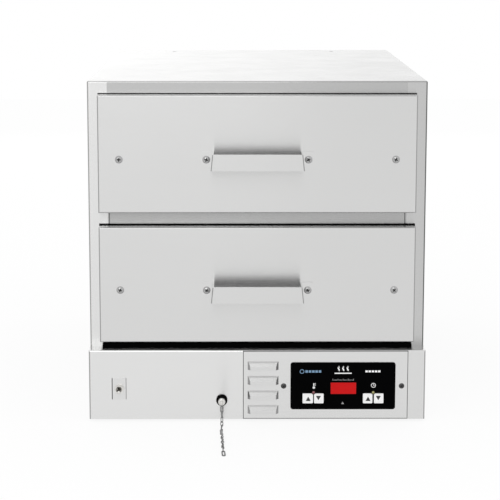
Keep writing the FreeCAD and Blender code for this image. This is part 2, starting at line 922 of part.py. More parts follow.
def slide_channel(level, side):
    low = channel_low(level)
    bar = block((channel_mouth, channel_face), (channel_front, channel_back),
                (low, low + channel_height))
    hollow = block((channel_mouth - 1, channel_inner), (channel_front - 1, channel_back + 1),
                   (low + channel_sheet, low + channel_height - channel_sheet))
    notch_back = roller_front_y + roller_front_radius + notch_margin
    notch = block((channel_mouth - 1, channel_inner), (channel_front - 1, notch_back),
                  (low + channel_height - 2 * channel_sheet, low + channel_height + 1))
    z = low + front_roller_z
    pin = roller_pin(channel_inner, roller_inner - seat, -1, roller_front_y, z)
    boss_length = channel_inner - roller_outer - seat
    boss_at = V(channel_inner - boss_length, roller_front_y, z)
    boss = prism(boss_at, ACROSS, pin_head_radius, boss_length, pin_sides)
    stop_y = roller_back_y - drawer_travel - roller_back_radius - stop_gap
    stop = block((roller_inner, channel_inner), (stop_y - channel_sheet, stop_y),
                 (low + channel_sheet / 2, low + channel_sheet + stop_height))
    return sided(fused([bar.cut(hollow).cut(notch), pin, boss, stop]), side)


def roller(level, side, y, z, radius):
    wheel = prism(V(roller_inner, y, channel_low(level) + z), ACROSS, radius, roller_width, roller_sides)
    bore = rod(V(roller_inner - 1, y, channel_low(level) + z), ACROSS, roller_bore, roller_width + 2)
    return sided(wheel.cut(bore), side)


def front_roller(level, side):
    return roller(level, side, roller_front_y, front_roller_z, roller_front_radius)


def back_roller(level, side):
    return roller(level, side, roller_back_y, back_roller_z, roller_back_radius)


def deck_top(level):
    return opening_lows[level] + pan_floor_lift + pan_depth - seat


def carrier_side(level):
    """One side of the carrier: a web with its running flange, its roller's pin and a window."""
    low = channel_low(level)
    web = block((web_inner, web_outer), (web_front, web_back), (low, deck_top(level)))
    sill = low + flange_low + channel_sheet
    window = block((web_inner - 1, web_outer + 1),
                   (web_front + web_window_margin, web_back - web_window_margin),
                   (sill + web_window_margin / 4, deck_top(level) - web_window_margin / 2))
    runner = block((web_outer - web_sheet / 2, roller_outer + seat), (web_front, web_back),
                   (low + flange_low, sill))
    z = low + back_roller_z
    pin = roller_pin(web_outer, roller_outer + seat, 1, roller_back_y, z)
    boss_length = roller_inner - seat - web_outer
    boss = prism(V(web_outer, roller_back_y, z), ACROSS, pin_head_radius, boss_length, pin_sides)
    return fused([web.cut(window), runner, pin, boss])


def pan_middle():
    return V(0, pan_front + pan_length / 2, 0)


def pan_carrier(level):
    low, top = channel_low(level), deck_top(level)
    deck = block((-web_outer, web_outer), (web_front, web_back), (top - web_sheet, top))
    mouth_width = pan_width - 2 * pan_rim + 2 * deck_hole_gap
    mouth_length = pan_length - 2 * pan_rim + 2 * deck_hole_gap
    deck = deck.cut(corner_slab(mouth_width, mouth_length, pan_corner, pan_corner_steps, pan_middle(),
                                top - 2 * web_sheet, 4 * web_sheet))
    ends = []
    for ys in ((web_front, web_front + web_sheet), (web_back - web_sheet, web_back)):
        end = block((-web_outer, web_outer), ys, (low, top))
        middle_low, middle_high = low + web_window_margin / 2, top - web_window_margin / 2
        gap = block((-web_inner + web_window_margin, web_inner - web_window_margin),
                    (ys[0] - 1, ys[1] + 1), (middle_low, middle_high))
        ends.append(end.cut(gap))
    side = carrier_side(level)
    return fused([deck, side, side.mirror(V(0, 0, 0), ACROSS)] + ends)


def food_pan(level):
    rim_low = deck_top(level) + seat
    floor = rim_low - pan_depth + seat
    middle = pan_middle()
    width, length = pan_width - 2 * pan_rim, pan_length - 2 * pan_rim

    def cup(shrink, bottom, top):
        low = corner_ring(width - 2 * pan_taper - shrink, length - 2 * pan_taper - shrink,
                          pan_corner - pan_taper - shrink / 2, pan_corner_steps, middle, bottom)
        high = corner_ring(width - shrink, length - shrink, pan_corner - shrink / 2, pan_corner_steps,
                           middle, top)
        return skinned([low, high])

    rim = corner_slab(pan_width, pan_length, pan_rim, pan_corner_steps, middle, rim_low, pan_sheet)
    lip = corner_slab(width - 4 * pan_sheet, length - 4 * pan_sheet, pan_corner - 2 * pan_sheet,
                      pan_corner_steps, middle, rim_low - 1, 3)
    pan = cup(0, floor, rim_low + pan_sheet).fuse(rim.cut(lip))
    return pan.cut(cup(2 * pan_sheet, floor + pan_sheet, rim_low + pan_sheet + 0.001))


# ---------------------------------------------------------------- drawer fronts


def front_zs(level, grow=0.0):
    low = opening_lows[level] - end_overlap - grow
    return low, low + opening_height + 2 * end_overlap + 2 * grow


def screw_line(level):
    low, high = front_zs(level)
    return (low + high) / 2 - screw_drop


def front_panel(level):
    low, high = front_zs(level)
    panel = block((-front_half, front_half), (front_face, front_back), (low, high))
    panel = panel.makeFillet(
        front_round,
        edges_along(panel, UP, lambda p: p.y < front_face + 1)
        + edges_along(panel, ACROSS, lambda p: p.y < front_face + 1),
    )
    return panel.cut(block((-front_half + skin, front_half - skin),
                           (front_face + skin, front_back + 1), (low + skin, high - skin)))


def front_backer(level):
    low, high = front_zs(level, -skin)
    plate = block((-front_half + skin, front_half - skin), (front_back - skin, front_back), (low, high))
    plug_half = opening_half - plug_margin
    plug_low = opening_lows[level] + plug_margin
    plug_high = opening_lows[level] + opening_height - plug_margin
    plug = block((-plug_half, plug_half), (front_back - skin, plug_depth), (plug_low, plug_high))
    plug = bevelled(plug, plug_corner, DEEP)
    margin = 6 * plug_corner
    dish_half = web_inner - margin
    low_dish, high_dish = channel_low(level) + margin, deck_top(level) - margin / 2
    dish = block((-dish_half, dish_half), (plug_depth - plug_dish, plug_depth + 1),
                 (low_dish, high_dish))
    fill = block((-plug_half + skin, plug_half - skin), (front_face, plug_depth - plug_dish - skin),
                 (plug_low + skin, plug_high - skin))
    return plate.fuse(plug).cut(bevelled(dish, plug_corner, DEEP)).cut(fill)


def gasket(level):
    inner_half = opening_half - gasket_inset
    low = opening_lows[level] + gasket_inset
    high = opening_lows[level] + opening_height - gasket_inset
    ys = (front_back, -seat)
    outside = block((-inner_half - gasket_width, inner_half + gasket_width), ys,
                    (low - gasket_width, high + gasket_width))
    inside = block((-inner_half, inner_half), (ys[0] - 1, ys[1] + 1), (low, high))
    return bevelled(outside, plug_corner, DEEP).cut(bevelled(inside, plug_corner / 2, DEEP))


def slab(corners, ys):
    """A flat piece: corners in X and Z, pushed through a stretch of depth."""
    points = [V(x, ys[0], z) for x, z in corners]
    return Part.Face(Part.makePolygon(points + points[:1])).extrude(DEEP * (ys[1] - ys[0]))


def handle(level):
    middle = screw_line(level)
    low, high = middle - handle_height / 2, middle + handle_height / 2
    front = front_face - handle_reach
    top, bottom, thick = handle_half_top, handle_half_bottom, handle_sheet
    outside = slab([(-bottom, low), (bottom, low), (top, high), (-top, high)], (front, front_face))
    lean = (bottom - top) / handle_height
    spare = 1.0
    room_low, room_high = low - spare, high + spare
    room = slab([(-bottom - lean * spare + thick, room_low), (bottom + lean * spare - thick, room_low),
                 (top - lean * spare - thick, room_high), (-top + lean * spare + thick, room_high)],
                (front + thick, front_face + 1))
    edges = [e for e in outside.Edges if e.BoundBox.YMax < front + 1e-3 and e.BoundBox.ZLength > 1]
    strap = outside.makeFillet(thick * 0.8, edges).cut(room)
    lip = block((-top + thick / 2, top - thick / 2), (front + thick / 2, front + handle_lip),
                (high - thick, high))
    feet_pads = []
    for sign in (-1, 1):
        xs = (sign * (bottom - thick), sign * handle_foot_end)
        foot = block(xs, (front_face - handle_foot_sheet, front_face), (low, high))
        feet_pads.append(rounded(foot, 3.0, DEEP, lambda p, s=sign: s * p.x > handle_foot_end - 1))
    return fused([strap, lip] + feet_pads)


def front_screws(level):
    z = screw_line(level)
    heads = []
    for x in (-screw_outer_x, screw_outer_x):
        heads.append(dome(V(x, front_face, z), V(0, -1, 0), screw_head_radius, screw_head_height))
    for x in (-screw_handle_x, screw_handle_x):
        at = V(x, front_face - handle_foot_sheet, z)
        heads.append(dome(at, V(0, -1, 0), screw_head_radius, screw_head_height))
    return Part.makeCompound(heads)


# ---------------------------------------------------------------- drain stopper and chain


def drain_stopper():
    """A rubber bung: a tapered plug in the pipe under a thick round flange."""
    at, out = V(drain_x, fascia_face - seat, drain_z), V(0, -1, 0)
    plug, rim = drain_inner - seat, stopper_flange_radius
    bung = stacked(at, out, [(plug - stopper_taper, -stopper_length), (plug, 0), (plug, stopper_flange / 2)],
                   bung_sides)
    flange = stacked(at, out, [(rim, 0), (rim, stopper_flange * 0.75),
                               (rim - stopper_flange * 0.25, stopper_flange)], bung_sides)
    return flange.fuse(bung)


def stopper_cap():
    """A round metal cap with a flat eye for the chain."""
    at = V(drain_x, stopper_front, drain_z)
    round_off = cap_radius * 0.25
    knob = stacked(at, V(0, -1, 0), [(cap_radius, 0), (cap_radius, cap_length - round_off),
                                     (cap_radius - round_off, cap_length)], bung_sides)
    start = V(drain_x - eyelet_wire, eyelet_y, drain_z)
    eye = prism(start, ACROSS, eyelet_radius + eyelet_wire, 2 * eyelet_wire, bung_sides)
    hole = prism(start - ACROSS, ACROSS, eyelet_radius - eyelet_wire, 2 * eyelet_wire + 2, bung_sides)
    return eye.cut(hole).cut(knob).fuse(knob)


def chain_points():
    """The chain's line: it drops from the eyelet to the surface and lies forward over it."""
    lie = -foot_drop + chain_diameter / 2
    drop_from = drain_z - eyelet_radius - eyelet_wire - seat
    x, y = drain_x, eyelet_y
    return [
        V(x, y, drop_from),
        V(x + 0.2, y - 1.0, drop_from - 10.9),
        V(x + 0.3, y - 8.0, lie + 6.0),
        V(x + 0.1, y - 19.0, lie + 0.4),
        V(x - 0.5, y - 36.0, lie),
        V(x + 0.4, y - 58.0, lie),
        V(x + 1.7, y - 84.0, lie),
        V(x + 1.9, y - 107.0, lie),
        V(x + 3.0, y - 128.0, lie),
    ]


def drain_chain():
    bends = largest_bends(chain_points())
    tube, length = tube_through(chain_points(), bends, chain_diameter / 2, chain_sides)
    section = math.pi * (chain_diameter / 2) ** 2
    print("chain radii", [round(bend, 1) for bend in bends], "length", round(length, 1),
          "volume share", round(tube.Volume / (section * length), 4))
    return tube


def chain_ring():
    """The oval end link, lying flat just past the chain's end and in line with it."""
    end, before = chain_points()[-1], chain_points()[-2]
    run = (end - before).normalize()
    half_length, half_width = end_ring_length / 2, end_ring_width / 2 - end_ring_wire
    centre = end + run * (half_length + seat)
    centre.z = -foot_drop + end_ring_wire
    straight = half_length - end_ring_wire - half_width
    side = UP.cross(run)
    ends = []
    for sign in (1, -1):
        middle = centre + run * (sign * straight)
        start = middle + side * (sign * half_width)
        arc = Part.Arc(start, middle + run * (sign * half_width),
                       middle - side * (sign * half_width)).toShape()
        ends.append(stepped(arc, start, end_ring_steps))
    near, far = ends
    path = Part.Wire(near + [Part.makeLine(near[-1].Vertexes[-1].Point, far[0].Vertexes[0].Point)]
                     + far + [Part.makeLine(far[-1].Vertexes[-1].Point, near[0].Vertexes[0].Point)])
    first = near[0].Vertexes
    section = tube_section(first[0].Point, first[1].Point - first[0].Point, end_ring_wire, chain_sides)
    return path.makePipeShell([section], True, False, MITRED)


# ---------------------------------------------------------------- all the pieces

SIDES = {"left": -1, "right": 1}
LEVELS = {"lower": 0, "upper": 1}

pieces = {
    "outer_wrap": outer_wrap(),
    "mid_rail": mid_rail(),
    "sill_seal": sill_seal(),
    "cavity_liner": cavity_liner(),
    "insulation_jacket": insulation_jacket(),
    "rear_panel": rear_panel(),
    "base_tray": base_tray(),
    "base_fascia": base_fascia(),
    "evaporator_tank": evaporator_tank(),
    "evaporator_heater": evaporator_heater(),
    "air_heater": air_heater(),
    "temperature_probe": temperature_probe(),
    "drain_pipe": drain_pipe(),
    "control_plate": control_plate(),
    "control_overlay": control_overlay(),
    "display_window": display_window(),
    "indicator_leds": indicator_leds(),
    "control_board": control_board(),
    "transformer": transformer(),
    "terminal_block": terminal_block(),
    "switch_plate": switch_plate(),
    "toggle_switch": toggle_switch(),
    "toggle_lever": toggle_lever(),
    "power_inlet": power_inlet(),
    "feet": feet(),
    "casing_screws": casing_screws(),
    "drain_stopper": drain_stopper(),
    "stopper_cap": stopper_cap(),
    "drain_chain": drain_chain(),
    "chain_ring": chain_ring(),
}
for number in range(len(key_centres)):
    pieces[f"key_{number + 1}"] = key_cap(number)
for level_name, level in LEVELS.items():
    for side_name, side in SIDES.items():
        spot = f"{level_name}_{side_name}"
        pieces[f"slide_channel_{spot}"] = slide_channel(level, side)
        pieces[f"front_roller_{spot}"] = front_roller(level, side)
        pieces[f"back_roller_{spot}"] = back_roller(level, side)
    for make in (front_panel, front_backer, gasket, handle, front_screws, pan_carrier, food_pan):
        pieces[f"{make.__name__}_{level_name}"] = make(level)

for name, shape in pieces.items():
    shape.translate(SHIFT)
    if not shape.isValid():
        print("not valid:", name)
    shape.exportStep(f"parts/{name}.step")
print(len(pieces), "pieces")


def told(label, point):
    moved = point + SHIFT
    print(label, [round(v / 1000, 6) for v in (moved.x, moved.y, moved.z)])


for level_name, level in LEVELS.items():
    base = channel_low(level)
    told(f"front roller {level_name}", V(roller_inner, roller_front_y, base + front_roller_z))
    told(f"back roller {level_name}", V(roller_inner, roller_back_y, base + back_roller_z))
told("lever pivot", V(switch_x, pivot_y, switch_z))
told("eyelet", V(drain_x, eyelet_y, drain_z))
print("roller radii", roller_front_radius, round(roller_back_radius, 4))
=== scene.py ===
# Two-drawer countertop warming drawer: finishes, small fittings, studio and camera.
import bpy
import bmesh
import math
from mathutils import Matrix, Vector


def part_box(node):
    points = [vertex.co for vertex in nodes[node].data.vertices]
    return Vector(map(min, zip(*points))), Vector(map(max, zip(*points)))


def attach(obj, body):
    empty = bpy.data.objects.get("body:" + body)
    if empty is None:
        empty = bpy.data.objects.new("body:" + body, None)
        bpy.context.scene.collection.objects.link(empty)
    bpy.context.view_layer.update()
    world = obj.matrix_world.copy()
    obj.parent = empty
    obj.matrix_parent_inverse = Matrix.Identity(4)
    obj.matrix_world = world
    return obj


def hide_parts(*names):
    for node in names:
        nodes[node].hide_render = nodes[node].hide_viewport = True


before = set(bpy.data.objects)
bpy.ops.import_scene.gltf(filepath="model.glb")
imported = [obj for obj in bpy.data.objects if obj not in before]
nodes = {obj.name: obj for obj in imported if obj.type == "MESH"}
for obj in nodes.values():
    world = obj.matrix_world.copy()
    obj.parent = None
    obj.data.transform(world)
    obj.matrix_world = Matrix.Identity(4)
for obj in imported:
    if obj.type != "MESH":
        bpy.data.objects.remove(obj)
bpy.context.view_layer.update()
print("frame loaded:", len(nodes), "nodes")

outFront = Vector((0, -1, 0))
upward = Vector((0, 0, 1))


# ---- small helpers for nodes and meshes

def newMaterial(name):
    material = bpy.data.materials.new(name)
    material.use_nodes = True
    tree = material.node_tree
    shader = tree.nodes["Principled BSDF"]
    return material, tree, shader


def addNode(tree, kind, **settings):
    node = tree.nodes.new(kind)
    for key, value in settings.items():
        setattr(node, key, value)
    return node


def setInputs(node, **values):
    for key, value in values.items():
        node.inputs[key.replace("_", " ")].default_value = value
    return node


def maths(tree, operation, first, second=None):
    node = addNode(tree, "ShaderNodeMath", operation=operation)
    for socket, value in zip(node.inputs, (first, second)):
        if isinstance(value, (int, float)):
            socket.default_value = value
        elif value is not None:
            tree.links.new(value, socket)
    return node.outputs[0]


def blendColours(tree, factor, first, second):
    node = addNode(tree, "ShaderNodeMix", data_type="RGBA")
    for socket, value in ((node.inputs[0], factor), (node.inputs[6], first), (node.inputs[7], second)):
        if isinstance(value, (int, float, tuple)):
            socket.default_value = value
        else:
            tree.links.new(value, socket)
    return node.outputs[2]


def grey(level, tint=(1.0, 1.0, 1.0)):
    return (level * tint[0], level * tint[1], level * tint[2], 1.0)


def newGroup(name, inputs, outputs):
    group = bpy.data.node_groups.new(name, "ShaderNodeTree")
    for label, kind, value in inputs:
        socket = group.interface.new_socket(name=label, in_out="INPUT", socket_type=kind)
        socket.default_value = value
    for label, kind in outputs:
        group.interface.new_socket(name=label, in_out="OUTPUT", socket_type=kind)
    return group, group.nodes.new("NodeGroupInput"), group.nodes.new("NodeGroupOutput")


def useGroup(tree, group, **values):
    node = addNode(tree, "ShaderNodeGroup", node_tree=group)
    for label, value in values.items():
        node.inputs[label].default_value = value
    return node


def putInScene(name, data):
    thing = bpy.data.objects.new(name, data)
    bpy.context.scene.collection.objects.link(thing)
    return thing


def settleOrder(bm):
    # Spin, extrude and bevel list what they make in a new order every run, so it is sorted by place
    for parts, placeOf in ((bm.verts, lambda v: v.co), (bm.faces, lambda f: f.calc_center_median())):
        byPlace = sorted(parts, key=lambda part: tuple(round(c, 7) for c in placeOf(part)))
        rank = {part: i for i, part in enumerate(byPlace)}
        parts.sort(key=rank.get)


def meshObject(name, bm, materials=()):
    # Turns a bmesh into an object with the same name as its mesh, and frees it
    settleOrder(bm)
    mesh = bpy.data.meshes.new(name)
    bm.to_mesh(mesh)
    bm.free()
    for material in materials:
        mesh.materials.append(material)
    return putInScene(name, mesh)


def smoothFaces(mesh, sharpAngle):
    for face in mesh.polygons:
        face.use_smooth = True
    mesh.set_sharp_from_angle(angle=math.radians(sharpAngle))


def finishMesh(name, bm, material, body, sharpAngle=35.0):
    # A bmesh already in its place becomes a piece that rides on a body
    piece = meshObject(name, bm, [material])
    smoothFaces(piece.data, sharpAngle)
    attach(piece, body)
    return piece


def edgesOf(verts):
    # Each edge once, in the order it is met: a set has a new order every run
    return list(dict.fromkeys(e for v in verts for e in v.link_edges))


def facesOf(verts):
    return list(dict.fromkeys(f for v in verts for f in v.link_faces))


def vertsIn(geom):
    return [part for part in geom if isinstance(part, bmesh.types.BMVert)]


def facing(centre, along):
    # The matrix that puts a thing drawn upright along Z at a place, pointing along a direction
    return Matrix.Translation(centre) @ upward.rotation_difference(Vector(along)).to_matrix().to_4x4()


def lathe(bm, outline, place, steps=48):
    # Spins an outline of (radius, height) points about Z, then moves the result to its place
    made = [bm.verts.new((radius, 0, height)) for radius, height in outline]
    edges = [bm.edges.new(pair) for pair in zip(made, made[1:])]
    before = set(bm.verts) - set(made)
    bmesh.ops.spin(bm, geom=made + edges, cent=(0, 0, 0), axis=(0, 0, 1), angle=2 * math.pi,
                   steps=steps, use_merge=True)
    fresh = [v for v in bm.verts if v not in before]
    bmesh.ops.remove_doubles(bm, verts=fresh, dist=1e-7)
    fresh = [v for v in bm.verts if v not in before]
    bmesh.ops.recalc_face_normals(bm, faces=facesOf(fresh))
    bmesh.ops.transform(bm, matrix=place, verts=fresh)


def addBox(bm, low, high, bevel=0.0):
    # A box between two corners, with its edges rounded off if a bevel is given
    low, high = Vector(low), Vector(high)
    made = bmesh.ops.create_cube(bm, size=1.0)["verts"]
    bmesh.ops.scale(bm, vec=high - low, verts=made)
    bmesh.ops.translate(bm, vec=(low + high) / 2, verts=made)
    if bevel:
        bmesh.ops.bevel(bm, geom=edgesOf(made), offset=bevel, affect="EDGES", segments=2, profile=0.5,
                        material=-1, clamp_overlap=True)


def addLink(bm, length, width, wire, place, steps=20, sides=8):
    # An oval ring of wire: a round ring is spun, then its two ends are drawn apart
    ring = bmesh.ops.create_circle(bm, segments=sides, radius=wire / 2,
                                   matrix=Matrix.Translation(((width - wire) / 2, 0, 0))
                                   @ Matrix.Rotation(math.pi / 2, 4, "X"))["verts"]
    before = set(bm.verts) - set(ring)
    bmesh.ops.spin(bm, geom=ring + edgesOf(ring), cent=(0, 0, 0), axis=(0, 0, 1), angle=2 * math.pi,
                   steps=steps, use_merge=True)
    fresh = [v for v in bm.verts if v not in before]
    for v in fresh:
        if abs(v.co.y) > 1e-6:
            v.co.y += math.copysign((length - width) / 2, v.co.y)
    bmesh.ops.recalc_face_normals(bm, faces=facesOf(fresh))
    bmesh.ops.transform(bm, matrix=place, verts=fresh)


def carve(piece, cutter):
    # Cuts a scratch object out of a piece, then throws the scratch object away
    tool = piece.modifiers.new("cut", "BOOLEAN")
    tool.operation = "DIFFERENCE"
    tool.object = cutter
    tool.solver = "EXACT"
    ready = piece.evaluated_get(bpy.context.evaluated_depsgraph_get())
    result = bpy.data.meshes.new_from_object(ready)
    piece.modifiers.clear()
    old = piece.data
    piece.data = result
    bpy.data.meshes.remove(old)
    bpy.data.objects.remove(cutter)


# ---- shared effects

# Long fine scratches laid along one direction, as a mask round 0.5
grain, grainIn, grainOut = newGroup(
    "brushGrain",
    [("Run", "NodeSocketVector", (9.0, 9.0, 900.0)), ("Depth", "NodeSocketFloat", 1.0)],
    [("Mask", "NodeSocketFloat"), ("Fine", "NodeSocketFloat")],
)
coords = addNode(grain, "ShaderNodeTexCoord")
stretch = addNode(grain, "ShaderNodeVectorMath", operation="MULTIPLY")
grain.links.new(coords.outputs["Object"], stretch.inputs[0])
grain.links.new(grainIn.outputs["Run"], stretch.inputs[1])
coarse = setInputs(addNode(grain, "ShaderNodeTexNoise"), Scale=1.0, Detail=3.0, Roughness=0.6)
fine = setInputs(addNode(grain, "ShaderNodeTexNoise"), Scale=2.7, Detail=5.0, Roughness=0.75)
grain.links.new(stretch.outputs[0], coarse.inputs["Vector"])
grain.links.new(stretch.outputs[0], fine.inputs["Vector"])
both = maths(grain, "MULTIPLY", maths(grain, "ADD", coarse.outputs[0], fine.outputs[0]), 0.5)
swing = maths(grain, "MULTIPLY", maths(grain, "SUBTRACT", both, 0.5), grainIn.outputs["Depth"])
grain.links.new(maths(grain, "ADD", swing, 0.5), grainOut.inputs["Mask"])
grain.links.new(fine.outputs[0], grainOut.inputs["Fine"])

# Where a sheet is bent: 1 halfway round an upright or a level fold, 0 on the flat; these masks place
# painted shade along the folds
foldShadeGroup, _, foldShadeOut = newGroup(
    "foldShade", [], [("Upright", "NodeSocketFloat"), ("Level", "NodeSocketFloat")])
foldShape = addNode(foldShadeGroup, "ShaderNodeNewGeometry")
facingParts = addNode(foldShadeGroup, "ShaderNodeSeparateXYZ")
foldShadeGroup.links.new(foldShape.outputs["True Normal"], facingParts.inputs[0])
for first, label in ((0, "Upright"), (2, "Level")):
    product = maths(foldShadeGroup, "MULTIPLY", facingParts.outputs[first], facingParts.outputs[1])
    bend = maths(foldShadeGroup, "MULTIPLY", maths(foldShadeGroup, "ABSOLUTE", product), 3.2)
    foldShadeGroup.links.new(maths(foldShadeGroup, "MINIMUM", bend, 1.0), foldShadeOut.inputs[label])

# Masks for painted shade on a case's sheets: a slow change from left to right, the strips between the
# posts, and faces turned back
tones, tonesIn, tonesOut = newGroup(
    "sheetShade", [("Width", "NodeSocketFloat", 0.508), ("Between", "NodeSocketFloat", 0.2243)],
    [("Side", "NodeSocketFloat"), ("Strip", "NodeSocketFloat"), ("Back", "NodeSocketFloat")])
toneCoords = addNode(tones, "ShaderNodeTexCoord")
toneParts = addNode(tones, "ShaderNodeSeparateXYZ")
tones.links.new(toneCoords.outputs["Object"], toneParts.inputs[0])
share = maths(tones, "ADD", maths(tones, "DIVIDE", toneParts.outputs[0], tonesIn.outputs["Width"]), 0.5)
held = maths(tones, "MINIMUM", maths(tones, "MAXIMUM", share, 0.0), 1.0)
tones.links.new(held, tonesOut.inputs["Side"])
toneShape = addNode(tones, "ShaderNodeNewGeometry")
toneFacing = addNode(tones, "ShaderNodeSeparateXYZ")
tones.links.new(toneShape.outputs["True Normal"], toneFacing.inputs[0])
forward = maths(tones, "LESS_THAN", toneFacing.outputs[1], -0.9)
inside = maths(tones, "LESS_THAN", maths(tones, "ABSOLUTE", toneParts.outputs[0]),
               tonesIn.outputs["Between"])
tones.links.new(maths(tones, "MULTIPLY", forward, inside), tonesOut.inputs["Strip"])
tones.links.new(maths(tones, "GREATER_THAN", toneFacing.outputs[1], 0.3), tonesOut.inputs["Back"])

# Where handling has rubbed an edge: 1 on the very edge, broken up by noise
wear, wearIn, wearOut = newGroup(
    "edgeWear",
    [("Width", "NodeSocketFloat", 0.0015), ("Breakup", "NodeSocketFloat", 60.0)],
    [("Mask", "NodeSocketFloat")],
)
roundOff = addNode(wear, "ShaderNodeBevel", samples=4)
wear.links.new(wearIn.outputs["Width"], roundOff.inputs["Radius"])
solidShape = addNode(wear, "ShaderNodeNewGeometry")
alike = addNode(wear, "ShaderNodeVectorMath", operation="DOT_PRODUCT")
wear.links.new(roundOff.outputs[0], alike.inputs[0])
wear.links.new(solidShape.outputs["True Normal"], alike.inputs[1])
turnedAway = maths(wear, "MULTIPLY", maths(wear, "SUBTRACT", 1.0, alike.outputs["Value"]), 7.0)
wearCoords = addNode(wear, "ShaderNodeTexCoord")
patches = setInputs(addNode(wear, "ShaderNodeTexNoise"), Detail=4.0, Roughness=0.7)
wear.links.new(wearCoords.outputs["Object"], patches.inputs["Vector"])
wear.links.new(wearIn.outputs["Breakup"], patches.inputs["Scale"])
broken = maths(wear, "MULTIPLY", turnedAway, maths(wear, "MULTIPLY", patches.outputs[0], 1.6))
wear.links.new(maths(wear, "MINIMUM", broken, 1.0), wearOut.inputs["Mask"])

# Slow cloudy changes over a surface, such as hand marks or uneven polish, centred on 0.5
cloud, cloudIn, cloudOut = newGroup(
    "cloudiness", [("Scale", "NodeSocketFloat", 4.0)], [("Mask", "NodeSocketFloat")])
cloudCoords = addNode(cloud, "ShaderNodeTexCoord")
haze = setInputs(addNode(cloud, "ShaderNodeTexNoise"), Detail=6.0, Roughness=0.55, Distortion=0.4)
cloud.links.new(cloudCoords.outputs["Object"], haze.inputs["Vector"])
cloud.links.new(cloudIn.outputs["Scale"], haze.inputs["Scale"])
cloud.links.new(haze.outputs[0], cloudOut.inputs["Mask"])


# ---- finishes

def acrossTangent(tree):
    # Highlights stretch across a grain that runs level on upright sheets and along X on flat ones
    shape = addNode(tree, "ShaderNodeNewGeometry")
    level = addNode(tree, "ShaderNodeVectorMath", operation="CROSS_PRODUCT")
    level.inputs[0].default_value = (0, 0, 1)
    tree.links.new(shape.outputs["True Normal"], level.inputs[1])
    length = addNode(tree, "ShaderNodeVectorMath", operation="LENGTH")
    tree.links.new(level.outputs[0], length.inputs[0])
    upright = maths(tree, "GREATER_THAN", length.outputs["Value"], 0.5)
    alongX = addNode(tree, "ShaderNodeMix", data_type="VECTOR")
    tree.links.new(upright, alongX.inputs[0])
    alongX.inputs[4].default_value = (1, 0, 0)
    tree.links.new(level.outputs[0], alongX.inputs[5])
    turned = addNode(tree, "ShaderNodeVectorMath", operation="CROSS_PRODUCT")
    tree.links.new(shape.outputs["True Normal"], turned.inputs[0])
    tree.links.new(alongX.outputs[1], turned.inputs[1])
    unit = addNode(tree, "ShaderNodeVectorMath", operation="NORMALIZE")
    tree.links.new(turned.outputs[0], unit.inputs[0])
    return unit.outputs[0]


steelLook = {
    "tint": (1.0, 1.0, 0.995),
    "darkLine": 0.965, "lightLine": 1.03,  # tones are shares of the sheet's own level
    "handTone": 0.93, "handShare": 0.22, "handScale": 5.0, "handGloss": 0.06,
    "rubTone": 1.06, "rubMost": 0.95, "rubShare": 0.5, "rubWidth": 0.0012,
    # Painted shade on the folds: the darkest tones, and the share of shade on the left-hand folds
    "uprightShadeTone": 0.2, "leftFoldShade": 0.62, "levelShadeTone": 0.3,
    "lineGloss": 0.16, "reliefDepth": 0.0002,
}
plainLook = {
    "handScale": 14.0, "rubShare": 0.6, "rubLift": 0.02, "rubWidth": 0.0008,
    "speckGloss": 0.12, "reliefDepth": 0.0004,
}


def scaled(tree, mask, share):
    return maths(tree, "MULTIPLY", mask, share)


def addRelief(tree, shader, height, strength, depth):
    relief = setInputs(addNode(tree, "ShaderNodeBump"), Strength=strength, Distance=depth)
    tree.links.new(height, relief.inputs["Height"])
    tree.links.new(relief.outputs[0], shader.inputs["Normal"])


